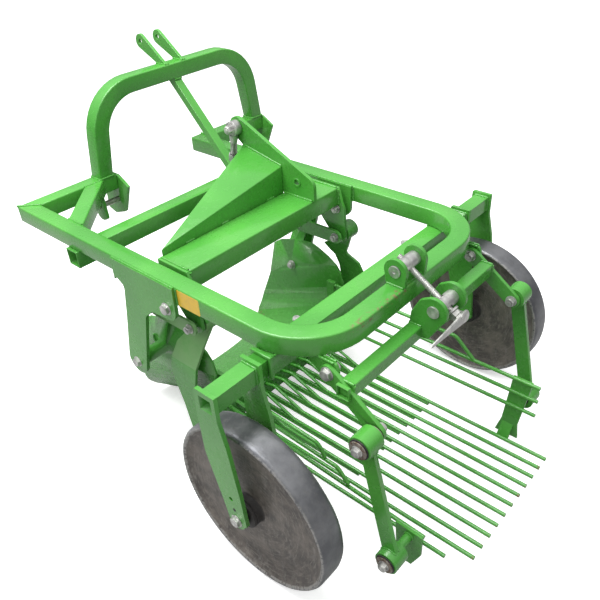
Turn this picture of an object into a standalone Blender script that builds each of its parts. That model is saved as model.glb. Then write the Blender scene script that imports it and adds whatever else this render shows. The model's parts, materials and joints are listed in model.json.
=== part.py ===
"""Sweet potato harvester: a mounted single-row lifter with a shaking rod sieve.

Frame used here: +X is the machine's right, +Y points forward to the tractor, +Z is up.
While the pieces are made, X = 0 is the frame's centre line, Y = 0 is the wheel axle and
Z = 0 is the ground.  The root empty then carries the whole machine to its own origin,
the middle of the box on the ground.  Lengths are metres.
"""
import math

import bmesh
import bpy
from mathutils import Matrix, Vector

# ---------------------------------------------------------------- driving sizes
GAP = 0.0003            # between pieces that touch
PIN_PLAY = 0.0004       # radial play of a pin in its bore
PIN_OUT = 0.009         # a pin's end beyond what it carries

# U frame
RAIL = 0.060            # square tube of the frame
RAIL_TOP = 0.750
FRAME_HALF = 0.434      # centre line to a rail's outer face
RAIL_FRONT = 1.260
LOOP_REAR = -0.123      # rear face of the loop
BEND_OUTER = 0.200
BRACE_OFFSET = 0.029    # the corner brace's middle, inside the arch's left foot
BAR_OVERHANG = 0.072    # front bar, from the arch's left foot to its bracket

# headstock
ARCH_X = 0.3125         # the headstock stands to the right of the frame's centre line
ARCH_FOOT_HALF = 0.4375
ARCH_CROWN_HALF = 0.395
ARCH_RISE = 0.332
ARCH_BEND = 0.200
EAR_THICK = 0.012
EAR_PITCH = 0.083
EAR_HEEL = 0.054
TOP_PIN_Y = 1.343
TOP_PIN_Z = 1.154
TOP_PIN_BORE = 0.0195
EAR_END_R = 0.028
LINK_PIN_Y = 1.225
LINK_PIN_Z = 0.640
LINK_PIN_D = 0.022
LINK_PIN_OUT = 0.020
LINK_PLATE = 0.012
LINK_PLATE_PITCH = 0.086
# lower link bracket: y and z from its pin, and the corner's radius
LINK_PLATE_TOP = ((0.077, 0.042, 0.0), (0.035, 0.105, 0.0), (-0.025, 0.105, 0.0), (-0.084, 0.070, 0.0))
LINK_PLATE_FOOT = ((-0.032, -0.048, 0.015), (0.040, -0.073, 0.030), (0.084, -0.058, 0.012))
INNER_PLATE_FOOT = ((-0.032, -0.048, 0.015), (0.030, -0.070, 0.030))
STAY = 0.035
STAY_RUN = 0.043        # the stay's section along the machine

# cross beams
CROSSBEAM_Y = 0.925
CROSSBEAM_OVERHANG = 0.010
OPEN_END = 0.080        # depth of a tube's open end
TUBE_WALL = 0.004
WHEEL_BEAM_Y = 0.048
WHEEL_BEAM_HALF = 0.440
BEAM_COLLAR = 0.070     # square collar at each end of the wheel beam
BEAM_COLLAR_W = 0.010

# side plates: both stand on the left face of their rail and carry the same two axes
PLATE = 0.012
ROCKER_Y, ROCKER_Z = 0.430, 0.668       # rocker pivot
SHARE_Y, SHARE_Z = 0.664, 0.353         # share pivot
ROCKER_PIN_D = 0.020
SHARE_PIN_D = 0.018
SHARE_COLLAR_D = 0.050
EAR_R = 0.040
LEG_END_R = 0.046
SIDE_PLATE_TOP = ((0.680, 0.750, 0.0), (0.387, 0.750, 0.0))
SIDE_PLATE_REAR = ((0.512, 0.622, 0.020), (0.552, 0.585, 0.025), (0.617, 0.353, 0.0))
SIDE_PLATE_FRONT = ((0.703, 0.385, 0.0), (0.663, 0.544, 0.060), (0.636, 0.664, 0.020), (0.680, 0.694, 0.012))

# rocker
ROCKER_SPACE_RIGHT = 0.017      # right arm to the right side plate
ROCKER_SPACE_LEFT = 0.012       # left arm to the left rail
BEAM_REAR, BEAM_FRONT = 0.422, 0.556
BEAM_BOTTOM = 0.682
END_PLATE = 0.012
PIVOT_LUG_R = 0.034
HANGER_Y, HANGER_Z = 0.421, 0.564       # pin that carries the sieve's front
HANGER_PIN_D = 0.016
HANGER_END_R = 0.030
LEVER_X = 0.198
LEVER_THICK = 0.014
LEVER_FRONT_Y, LEVER_FRONT_Z = 0.762, 0.945
LEVER_REAR_Y, LEVER_REAR_Z = 0.452, 0.797
LEVER_FOOT_Y = 0.560
LEVER_R = 0.036
LEVER_HOLE_Y, LEVER_HOLE_Z = 0.490, 0.803
LEVER_HOLE_D = 0.032
WEDGE_END = -0.343
WEDGE_LOW, WEDGE_TALL = 0.770, 0.847
WEDGE_NOSE_Y, WEDGE_NOSE_LOW, WEDGE_NOSE_TALL = 0.737, 0.800, 0.886
WEDGE_FOOT = 0.720
DRIVE_PIN_D = 0.018
DRIVE_PIN_OUT = 0.014
DRIVE_ROD_D = 0.024
DRIVE_EYE_D = 0.052
DRIVE_EYE_W = 0.030
DRIVE_ROD_RUN = 0.047
DRIVE_ROD_LENGTH = 0.300

# share
SHARE_SIDE_SPACE = 0.0277       # wall to the right side plate
SHARE_SKIN = 0.008
SHARE_WALL_TOP = 0.700
SHARE_CORNER = 0.170
SHARE_TIP_Y = 0.805             # cutting edge at the centre line
SHARE_HORN_Y = 0.880            # cutting edge at the walls
SHARE_ZERO_Y = 0.82376          # where the slope of the floor meets the ground
SHARE_FALL = 0.042              # fall of the floor in each 100 mm
SHARE_FLOOR_REAR = 0.474
SHARE_WALL_REAR = ((0.556, 0.486), (0.520, 0.474), (0.474, 0.453), (0.436, 0.428), (0.412, 0.397),
                   (0.403, 0.360), (0.410, 0.320), (0.432, 0.288), (0.466, 0.262))
EDGE_SPREAD = 1.08          # width of the arc that trims the front edge, over the share's own
SHARE_WALL_FRONT = ((0.850, 0.140), (0.797, 0.264), (0.757, 0.423), (0.721, 0.449), (0.640, 0.476))
SHARE_LINK_Y, SHARE_LINK_Z = 0.600, 0.562
SHARE_LINK_PIN_D = 0.014
SHARE_EAR = 0.008               # the ear bar on each wall's outer face
SHARE_EAR_R = 0.030
SHARE_EAR_FOOT_Y, SHARE_EAR_FOOT_Z = 0.676, 0.375
FLAT_LINK = 0.009
FLAT_LINK_R = 0.026
LINK_SPACE = 0.008              # between a link and the wall, or the arm beside it
LINK_SLACK = 0.0025             # play where a closed linkage is left open
LEFT_LINK_SPACE = 0.015

# sieve
ROD_D = 0.012
BEARER_D = 0.014
GUIDE_D = 0.011
ROD_PITCH = 0.0455
ROD_FIRST, ROD_LAST = -6, 5     # rods are counted from the middle
ROD_Z = 0.090
GUIDE_LINE = ((0.447, 0.126), (0.392, 0.139), (0.262, 0.091))
SIEVE_FRONT = 0.452
SIEVE_REAR = -0.492
SHORT_ROD_REAR = -0.425
BEARER_REAR = -0.058
BEARER_SINK = 0.85         # how far apart rod and bearer are, as a share of their radii together
SIEVE_BAR = 0.010
SIEVE_POST = 0.017
POST_RUN = 0.034
SIEVE_BAR_BOTTOM = 0.064
SIEVE_BAR_TOP = 0.150
BAR_BEYOND_SHARE = {"left": 0.046, "right": 0.050}
# each side: x at the front and rear, post's top, then its rods as lines of (y, z)
SIDE_FRONT_X = {"left": -0.300, "right": 0.285}
SIDE_REAR_X = {"left": -0.325, "right": 0.285}
POST_TOP = {"left": 0.330, "right": 0.384}
SIDE_RODS = {
    "left": (((0.430, 0.195), (-0.385, 0.195)),
             ((0.430, 0.247), (-0.083, 0.247), (-0.122, 0.204)),
             ((0.430, 0.297), (-0.008, 0.297), (-0.034, 0.256))),
    "right": (((0.430, 0.190), (-0.413, 0.190)),
              ((0.430, 0.250), (-0.413, 0.250)),
              ((0.430, 0.305), (-0.413, 0.305)),
              ((0.430, 0.372), (-0.110, 0.372), (-0.183, 0.305))),
}
ROD_TURN = 0.2             # radians a side rod's flats are turned about its length
RIB_PLATE = 0.008
RIB = {
    "left": ((-0.385, 0.200), (-0.300, 0.204), (-0.304, 0.116), (-0.330, 0.060), (-0.356, 0.060),
             (-0.384, 0.123)),
    "right": ((-0.387, 0.308), (-0.321, 0.308), (-0.304, 0.116), (-0.287, 0.054), (-0.367, 0.054),
              (-0.360, 0.110)),
}
TONGUE = ((0.0, 0.112), (0.0, 0.098), (0.036, 0.050), (0.036, 0.062))  # inward from the rib, and z
TONGUE_REAR, TONGUE_FRONT = -0.348, -0.308
ARM_PLATE = 0.010
ARM_FOLD_Z = 0.398
ARM_LEAN = {"left": 0.40, "right": -0.17}       # how far it leans for each metre above its fold
ARM_CORNERS = {
    "left": ((0.390, 0.548, 0.0), (0.458, 0.548, 0.0), (0.486, 0.510, 0.020), (0.531, 0.455, 0.020),
             (0.546, 0.398, 0.0), (0.563, 0.340, 0.030), (0.550, 0.280, 0.030), (0.526, 0.200, 0.030),
             (0.500, 0.064, 0.0), (0.397, 0.064, 0.0), (0.447, 0.315, 0.030), (0.426, 0.398, 0.0),
             (0.409, 0.480, 0.0)),
    "right": ((0.390, 0.548, 0.0), (0.458, 0.548, 0.0), (0.480, 0.508, 0.015), (0.528, 0.480, 0.0),
              (0.503, 0.456, 0.010), (0.480, 0.440, 0.010), (0.466, 0.398, 0.0), (0.448, 0.304, 0.030),
              (0.462, 0.200, 0.030), (0.462, 0.064, 0.0), (0.380, 0.064, 0.0), (0.350, 0.280, 0.030),
              (0.354, 0.398, 0.0), (0.368, 0.437, 0.010), (0.425, 0.467, 0.010), (0.409, 0.500, 0.0)),
}
BUSH_D = 0.068
BUSH_LENGTH = 0.056
RUBBER_D = 0.046
HUB_SPACE = 0.004
LINK_FOOT_BORE = 0.040      # bore round the pin of the sieve, for a rubber ring

# rear lever, its swing links and the adjusting screw
LEVER_PIVOT_Y, LEVER_PIVOT_Z = -0.108, 0.660
LINK_TOP_Y, LINK_TOP_Z = -0.258, 0.550
LINK_FOOT_Y, LINK_FOOT_Z = -0.343, 0.175
REAR_TUBE = 0.040
REAR_TUBE_Y, REAR_TUBE_Z = -0.163, 0.634
REAR_ARM = 0.012
REAR_ARM_R = 0.024
REAR_ARM_INSET = {"left": 0.059, "right": 0.089}    # outer face, from the rail's outer face
REAR_HUB_SPACE = {"left": 0.012, "right": 0.0022}
HANGER_PLATE = 0.010
HANGER_CORNERS = ((-0.140, 0.655, 0.024), (-0.086, 0.625, 0.024), (-0.010, 0.6897, 0.0),
                  (-0.086, 0.6897, 0.0), (-0.125, 0.6897, 0.010))
SWING_LINK_W = 0.044
SWING_LINK_T = 0.014
FOOT_BOSS_D = 0.026
SCREW_TOP_Y, SCREW_TOP_Z = -0.091, 0.794
SCREW_NUT_Y, SCREW_NUT_Z = -0.215, 0.715
SCREW_X = -0.0115
SCREW_EAR_PITCH = 0.095
SCREW_EAR = 0.012
SCREW_EAR_R = 0.036
BRACKET_BASE = 0.006
SCREW_CHEEK_R = 0.041
CHEEK_FOOT = ((-0.143, 0.652), (-0.146, 0.690), (-0.172, 0.738))
CHEEK_UNDER = ((-0.205, 0.620), (-0.181, 0.616))
TRUNNION_D = 0.036
TRUNNION_OUT = 0.004
NUT_PIN_D = 0.042
SPINDLE_D = 0.018
SPINDLE_SLACK = 0.0035
SPINDLE_BEYOND = 0.066
SPINDLE_HEAD = 0.030
CRANK_LONG, CRANK_SHORT = 0.150, 0.040
CRANK_R, CRANK_TIP_R = 0.017, 0.007
CRANK_T = 0.006

# wheels and their forks
WHEEL_R = 0.270
WHEEL_WIDTH = 0.087
WHEEL_DISH = 0.020
WHEEL_RIM = 0.030
WHEEL_SHOULDER = 0.014
HUB_D = 0.090
HUB_SPACE_SIDE = 0.010
AXLE_D = 0.025
AXLE_HEAD = 0.012
AXLE_HEAD_D = 0.040
FORK_TUBE = 0.050
FORK_TUBE_INNER = 0.300
FORK_ARM = 0.012
FORK_GAP = 0.138
FORK_FOOT_W = 0.060
FORK_HEAD = ((0.013, 0.697, 0.0), (0.084, 0.697, 0.006), (0.088, 0.618, 0.020), (0.084, 0.483, 0.060),
             (0.042, 0.321, 0.060), (0.030, 0.265, 0.0))
FORK_REAR = ((-0.037, 0.269, 0.0), (-0.028, 0.376, 0.060), (-0.005, 0.544, 0.060), (0.013, 0.622, 0.0))
FORK_HOLE_Y, FORK_HOLE_Z, FORK_HOLE_D = 0.010, 0.350, 0.014
FORK_X = {"left": -0.559, "right": 0.612}

# ---------------------------------------------------------------- places that follow
HAND = {"left": -1, "right": 1}
PLATE_OUTER = {"left": -FRAME_HALF - GAP - PLATE, "right": FRAME_HALF - RAIL - GAP - PLATE}
RAIL_INNER = FRAME_HALF - RAIL
SHARE_HALF = PLATE_OUTER["right"] - SHARE_SIDE_SPACE
# the rocker's end plates: outer face, then inner face
ARM_OUTER = {"left": -RAIL_INNER + ROCKER_SPACE_LEFT, "right": PLATE_OUTER["right"] - ROCKER_SPACE_RIGHT}
ARM_INNER = {side: ARM_OUTER[side] - HAND[side] * END_PLATE for side in HAND}
# hubs on the rocker's pins: the left one is inside its arm, the right one outside
HUB_LOW = {"left": ARM_INNER["left"] + HUB_SPACE, "right": ARM_OUTER["right"] + HUB_SPACE}
# the flat links: x of the left face of each
FLAT_LINK_X = {"left": ARM_OUTER["left"] - LEFT_LINK_SPACE - FLAT_LINK,
               "right": SHARE_HALF - SHARE_SKIN - LINK_SPACE - FLAT_LINK}
BAR_END = {side: SHARE_HALF + BAR_BEYOND_SHARE[side] for side in HAND}
BEAM_TOP = RAIL_TOP - RAIL - GAP        # top of what hangs under the rails
BEAM_MIDDLE = BEAM_TOP - RAIL / 2


# ---------------------------------------------------------------- scene helpers
for old in list(bpy.data.objects):
    bpy.data.objects.remove(old, do_unlink=True)

parts = bpy.data.collections.new("sweet_potato_harvester")
cutters = bpy.data.collections.new("cutters")
bpy.context.scene.collection.children.link(parts)
bpy.context.scene.collection.children.link(cutters)


def painted(name, colour, roughness, metallic=0.0):
    """One Principled material."""
    material = bpy.data.materials.new(name)
    material.use_nodes = True
    shader = material.node_tree.nodes["Principled BSDF"]
    shader.inputs["Base Color"].default_value = (*colour, 1.0)
    shader.inputs["Roughness"].default_value = roughness
    shader.inputs["Metallic"].default_value = metallic
    return material


GREEN = painted("green_paint", (0.13, 0.50, 0.08), 0.35)
ZINC = painted("zinc_plate", (0.60, 0.60, 0.57), 0.35, 0.9)
WHEEL_STEEL = painted("wheel_steel", (0.22, 0.21, 0.21), 0.55, 0.5)
BLACK = painted("black_hub", (0.03, 0.03, 0.03), 0.5)


def add_part(name, mesh, material):
    """Put a mesh into the part collection as one named piece."""
    part = bpy.data.objects.new(name, mesh)
    parts.objects.link(part)
    mesh.materials.clear()
    mesh.materials.append(material)
    return part


def welded(obj):
    """The evaluated mesh of a curve object, its caps welded; the curve goes."""
    depsgraph = bpy.context.evaluated_depsgraph_get()
    mesh = bpy.data.meshes.new_from_object(obj.evaluated_get(depsgraph))
    mesh.transform(obj.matrix_world)
    bpy.data.objects.remove(obj, do_unlink=True)
    work = bmesh.new()
    work.from_mesh(mesh)
    bmesh.ops.remove_doubles(work, verts=work.verts, dist=0.00001)
    bmesh.ops.recalc_face_normals(work, faces=work.faces)
    work.to_mesh(mesh)
    work.free()
    return mesh


def arc(centre, radius, start, end, steps=8):
    """Points on an arc; the angles are degrees from the first axis."""
    return [(centre[0] + radius * math.cos(math.radians(start + (end - start) * i / steps)),
             centre[1] + radius * math.sin(math.radians(start + (end - start) * i / steps)))
            for i in range(steps + 1)]


def rounded(corners, steps=6):
    """A closed outline from (u, v, radius) corners, each rounded by its radius."""
    points = []
    count = len(corners)
    for i, (u, v, radius) in enumerate(corners):
        here = Vector((u, v))
        if radius == 0:
            points.append((u, v))
            continue
        back = (Vector(corners[i - 1][:2]) - here).normalized()
        ahead = (Vector(corners[(i + 1) % count][:2]) - here).normalized()
        half = back.angle(ahead) / 2
        reach = radius / math.tan(half)
        centre = here + (back + ahead).normalized() * (radius / math.sin(half))
        start = here + back * reach - centre
        end = here + ahead * reach - centre
        turn = start.angle_signed(end)
        for step in range(steps + 1):
            angle = -turn * step / steps
            spoke = Vector((start.x * math.cos(angle) - start.y * math.sin(angle),
                            start.x * math.sin(angle) + start.y * math.cos(angle)))
            points.append((centre.x + spoke.x, centre.y + spoke.y))
    return points


def strap(first, second, radius, steps=10):
    """The outline of a flat bar with round ends about two points."""
    along = math.degrees(math.atan2(second[1] - first[1], second[0] - first[0]))
    return (arc(second, radius, along - 90, along + 90, steps)
            + arc(first, radius, along + 90, along + 270, steps))


PLANES = {
    "X": Matrix(((0, 0, 1, 0), (1, 0, 0, 0), (0, 1, 0, 0), (0, 0, 0, 1))),
    "Y": Matrix(((1, 0, 0, 0), (0, 0, -1, 0), (0, 1, 0, 0), (0, 0, 0, 1))),
    "Z": Matrix.Identity(4),
}


def slab_mesh(outline, axis, low, high, holes=()):
    """A flat outline given thickness from low to high along an axis.

    The outline is (y, z) for X, (x, z) for Y and (x, y) for Z.
    """
    curve = bpy.data.curves.new("outline", "CURVE")
    curve.dimensions = "2D"
    curve.fill_mode = "BOTH"
    curve.extrude = (high - low) / 2
    for loop in (outline, *holes):
        spline = curve.splines.new("POLY")
        spline.points.add(len(loop) - 1)
        for point, (u, v) in zip(spline.points, loop):
            point.co = (u, v, 0, 1)
        spline.use_cyclic_u = True
    obj = bpy.data.objects.new("outline", curve)
    bpy.context.scene.collection.objects.link(obj)
    middle = (low + high) / 2
    offset = {"X": (middle, 0, 0), "Y": (0, middle, 0), "Z": (0, 0, middle)}[axis]
    obj.matrix_world = Matrix.Translation(offset) @ PLANES[axis]
    bpy.context.view_layer.update()
    return welded(obj)


def slab(name, outline, axis, low, high, material=GREEN, holes=()):
    """slab_mesh as a named part."""
    return add_part(name, slab_mesh(outline, axis, low, high, holes), material)


def ring(centre, diameter, sides=24):
    """A round outline."""
    return arc(centre, diameter / 2, 0, 360 * (sides - 1) / sides, sides - 1)


def box_mesh(low, high):
    """An upright box between two corners."""
    work = bmesh.new()
    bmesh.ops.create_cube(work, size=1)
    size = Vector(high) - Vector(low)
    middle = (Vector(high) + Vector(low)) / 2
    work.transform(Matrix.Translation(middle) @ Matrix.Diagonal((*size, 1)))
    mesh = bpy.data.meshes.new("box")
    work.to_mesh(mesh)
    work.free()
    return mesh


def cylinder_mesh(start, end, diameter, sides=24):
    """A round bar between two points."""
    start, end = Vector(start), Vector(end)
    work = bmesh.new()
    bmesh.ops.create_cone(work, cap_ends=True, segments=sides, radius1=diameter / 2,
                          radius2=diameter / 2, depth=(end - start).length)
    turn = (end - start).to_track_quat("Z", "Y").to_matrix().to_4x4()
    work.transform(Matrix.Translation((start + end) / 2) @ turn)
    mesh = bpy.data.meshes.new("round")
    work.to_mesh(mesh)
    work.free()
    mesh.shade_smooth()
    mesh.set_sharp_from_angle(angle=math.radians(35))
    return mesh


def rod_mesh(points, diameter, tilt=0.0):
    """A bent round rod: a poly curve with a round bevel, made a mesh."""
    curve = bpy.data.curves.new("rod", "CURVE")
    curve.dimensions = "3D"
    curve.bevel_depth = diameter / 2
    curve.bevel_resolution = 2
    curve.render_resolution_u = 0
    curve.use_fill_caps = True
    spline = curve.splines.new("POLY")
    spline.points.add(len(points) - 1)
    for point, place in zip(spline.points, points):
        point.co = (*place, 1)
        point.tilt = tilt
    obj = bpy.data.objects.new("rod", curve)
    bpy.context.scene.collection.objects.link(obj)
    bpy.context.view_layer.update()
    return welded(obj)


def combine(part, meshes, operation):
    """Unite meshes with a part, or cut them from it, and keep the result as its mesh."""
    for mesh in meshes:
        tool = bpy.data.objects.new(part.name + "_tool", mesh)
        tool.hide_render = True
        tool.display_type = "WIRE"
        cutters.objects.link(tool)
        modifier = part.modifiers.new(operation.lower(), "BOOLEAN")
        modifier.operation = operation
        modifier.object = tool
        modifier.solver = "EXACT"
    bpy.context.view_layer.update()
    depsgraph = bpy.context.evaluated_depsgraph_get()
    result = bpy.data.meshes.new_from_object(part.evaluated_get(depsgraph))
    for modifier in list(part.modifiers):
        tool = modifier.object
        part.modifiers.remove(modifier)
        bpy.data.objects.remove(tool, do_unlink=True)
    material = part.data.materials[0]
    part.data = result
    result.materials.clear()
    result.materials.append(material)
    return part


def join(part, *meshes):
    return combine(part, meshes, "UNION")


def cut(part, *meshes):
    return combine(part, meshes, "DIFFERENCE")


def fold(mesh, z, lean):
    """Fold a plate about a level line: above z it leans along X."""
    work = bmesh.new()
    work.from_mesh(mesh)
    bmesh.ops.bisect_plane(work, geom=work.verts[:] + work.edges[:] + work.faces[:],
                           plane_co=(0, 0, z), plane_no=(0, 0, 1))
    for vertex in work.verts:
        vertex.co.x += lean * max(0.0, vertex.co.z - z)
    work.to_mesh(mesh)
    work.free()
    return mesh


def at_joint(y, z, *pieces):
    """Give pieces their origin on a joint's axis."""
    for piece in pieces:
        pivot = Vector((0.0, y, z))
        piece.data.transform(Matrix.Translation(-pivot))
        piece.location = pivot


# ---------------------------------------------------------------- frame
def u_frame():
    """One tube bent to a U, mitred at its left end to the short front bar."""
    bend_y = LOOP_REAR + BEND_OUTER
    bend_x = FRAME_HALF - BEND_OUTER
    inner_bend = BEND_OUTER - RAIL
    outline = [(-FRAME_HALF, RAIL_FRONT)]
    outline += arc((-bend_x, bend_y), BEND_OUTER, 180, 270, 12)
    outline += arc((bend_x, bend_y), BEND_OUTER, 270, 360, 12)
    outline += [(FRAME_HALF, RAIL_FRONT), (RAIL_INNER, RAIL_FRONT)]
    outline += arc((bend_x, bend_y), inner_bend, 0, -90, 12)
    outline += arc((-bend_x, bend_y), inner_bend, 270, 180, 12)
    outline += [(-RAIL_INNER, RAIL_FRONT - RAIL)]
    slab("main_rail", outline, "Z", RAIL_TOP - RAIL, RAIL_TOP)

    left_foot = ARCH_X - ARCH_FOOT_HALF
    bar_end = left_foot + BAR_OVERHANG
    front_left = [(-FRAME_HALF + GAP, RAIL_FRONT), (-RAIL_INNER + GAP, RAIL_FRONT - RAIL),
                  (bar_end, RAIL_FRONT - RAIL), (bar_end, RAIL_FRONT)]
    slab("front_bar_left", front_left, "Z", RAIL_TOP - RAIL, RAIL_TOP)
    right_foot = ARCH_X + ARCH_FOOT_HALF
    add_part("front_bar_right", box_mesh((FRAME_HALF + GAP, RAIL_FRONT - RAIL, RAIL_TOP - RAIL),
                                         (right_foot, RAIL_FRONT, RAIL_TOP)), GREEN)

    half_cut = RAIL / math.sqrt(2)
    wall_x = -RAIL_INNER + GAP
    wall_y = RAIL_FRONT - RAIL - GAP
    reach = wall_y - (left_foot - BRACE_OFFSET)
    brace = [(wall_x, wall_x + reach - half_cut), (wall_y - reach + half_cut, wall_y),
             (wall_y - reach - half_cut, wall_y), (wall_x, wall_x + reach + half_cut)]
    slab("corner_brace", brace, "Z", RAIL_TOP - RAIL, RAIL_TOP)


def headstock():
    """Bent arch, clevis ears for the top link, lower link brackets and the stay."""
    foot_z = RAIL_TOP + GAP
    crown_z = foot_z + ARCH_RISE
    outer = [(-ARCH_FOOT_HALF, foot_z, 0), (-ARCH_CROWN_HALF, crown_z, ARCH_BEND),
             (ARCH_CROWN_HALF, crown_z, ARCH_BEND), (ARCH_FOOT_HALF, foot_z, 0)]
    lean = RAIL * math.hypot(1, (ARCH_FOOT_HALF - ARCH_CROWN_HALF) / ARCH_RISE)
    inner = [(ARCH_FOOT_HALF - lean, foot_z, 0),
             (ARCH_CROWN_HALF - lean, crown_z - RAIL, ARCH_BEND - RAIL),
             (-ARCH_CROWN_HALF + lean, crown_z - RAIL, ARCH_BEND - RAIL),
             (-ARCH_FOOT_HALF + lean, foot_z, 0)]
    outline = [(ARCH_X + x, z) for x, z in rounded(outer + inner, 10)]
    slab("headstock_arch", outline, "Y", RAIL_FRONT - RAIL, RAIL_FRONT)

    ear_foot = crown_z + GAP
    pin = (TOP_PIN_Y, TOP_PIN_Z)
    heel = (RAIL_FRONT - EAR_HEEL, ear_foot)
    toe = (RAIL_FRONT, ear_foot)
    tilt = math.degrees(math.atan2(pin[1] - ear_foot, pin[0] - (heel[0] + toe[0]) / 2))
    ear = [heel, toe] + arc(pin, EAR_END_R, tilt - 90, tilt + 90, 10)
    for side in HAND:
        face = ARCH_X + HAND[side] * EAR_PITCH / 2
        slab("top_link_ear_" + side, ear, "X", face - EAR_THICK / 2, face + EAR_THICK / 2,
             holes=[ring(pin, TOP_PIN_BORE, 16)])

    stay_top = RAIL_FRONT - RAIL / 2
    stay_half = STAY_RUN / 2
    stay_outline = [(CROSSBEAM_Y - stay_half, BEAM_TOP + 2 * GAP),
                    (CROSSBEAM_Y + stay_half, BEAM_TOP + 2 * GAP),
                    (stay_top + stay_half, crown_z - RAIL - GAP),
                    (stay_top - stay_half, crown_z - RAIL - GAP)]
    slab("headstock_stay", stay_outline, "X", ARCH_X - STAY / 2, ARCH_X + STAY / 2)

    for side, end in (("left", ARCH_X - ARCH_FOOT_HALF + BAR_OVERHANG),
                      ("right", ARCH_X + ARCH_FOOT_HALF)):
        link_bracket("lower_link_bracket_" + side, end + GAP)


def link_bracket(name, face):
    """Two plates and a pin: one plate closes the front bar's end, one stands under the bar."""
    pin = (LINK_PIN_Y, LINK_PIN_Z)
    outer = rounded([(pin[0] + y, pin[1] + z, r) for y, z, r in LINK_PLATE_TOP + LINK_PLATE_FOOT])
    under = [(RAIL_FRONT, RAIL_TOP - RAIL - GAP, 0.0), (RAIL_FRONT - RAIL, RAIL_TOP - RAIL - GAP, 0.0)]
    inner = rounded(under + [(pin[0] + y, pin[1] + z, r) for y, z, r in INNER_PLATE_FOOT])
    far = face - LINK_PLATE_PITCH
    bracket = slab(name, outer, "X", face, face + LINK_PLATE)
    join(bracket, slab_mesh(inner, "X", far, far + LINK_PLATE),
         cylinder_mesh((far - PIN_OUT, *pin), (face + LINK_PLATE + LINK_PIN_OUT, *pin), LINK_PIN_D, 16))


def crossbeams():
    """The front cross beam under the rails, open at its left end, and the wheel beam."""
    half = FRAME_HALF + CROSSBEAM_OVERHANG
    beam = add_part("front_crossbeam",
                    box_mesh((-half, CROSSBEAM_Y - RAIL / 2, BEAM_TOP - RAIL),
                             (half, CROSSBEAM_Y + RAIL / 2, BEAM_TOP)), GREEN)
    bore = RAIL / 2 - TUBE_WALL
    cut(beam, box_mesh((-half - OPEN_END, CROSSBEAM_Y - bore, BEAM_MIDDLE - bore),
                       (-half + OPEN_END, CROSSBEAM_Y + bore, BEAM_MIDDLE + bore)))

    sleeve = add_part("wheel_beam",
                      box_mesh((-WHEEL_BEAM_HALF, WHEEL_BEAM_Y - RAIL / 2, BEAM_TOP - RAIL),
                               (WHEEL_BEAM_HALF, WHEEL_BEAM_Y + RAIL / 2, BEAM_TOP)), GREEN)
    edge = BEAM_COLLAR / 2
    for hand in HAND.values():
        low, high = sorted((hand * WHEEL_BEAM_HALF, hand * (WHEEL_BEAM_HALF + BEAM_COLLAR_W)))
        join(sleeve, box_mesh((low, WHEEL_BEAM_Y - edge, BEAM_MIDDLE - edge),
                              (high, WHEEL_BEAM_Y + edge, BEAM_MIDDLE + edge)))
    bore = FORK_TUBE / 2 + GAP
    through = 2 * WHEEL_BEAM_HALF
    cut(sleeve, box_mesh((-through, WHEEL_BEAM_Y - bore, BEAM_MIDDLE - bore),
                         (through, WHEEL_BEAM_Y + bore, BEAM_MIDDLE + bore)))


def side_plates():
    """The plates that carry the rocker and the share, with the pins bolted to them."""
    leg = (SHARE_Y, SHARE_Z)
    pivot = (ROCKER_Y, ROCKER_Z)
    outline = rounded(SIDE_PLATE_TOP) + arc(pivot, EAR_R, 185, 270, 8)
    outline += rounded(((ROCKER_Y, ROCKER_Z - EAR_R, 0.0),) + SIDE_PLATE_REAR)[1:]
    outline += arc(leg, LEG_END_R, 185, 375, 12) + rounded(SIDE_PLATE_FRONT)
    for side, hand in HAND.items():
        outer = PLATE_OUTER[side]
        plate = slab("side_plate_" + side, outline, "X", outer, outer + PLATE)
        bolt_head = outer - PIN_OUT if side == "left" else outer + PLATE + PIN_OUT
        share_end = hand * (SHARE_HALF - SHARE_SKIN - PIN_OUT)
        join(plate, cylinder_mesh((bolt_head, *pivot), (ARM_INNER[side], *pivot), ROCKER_PIN_D),
             cylinder_mesh((bolt_head, *leg), (share_end, *leg), SHARE_PIN_D))


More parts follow.
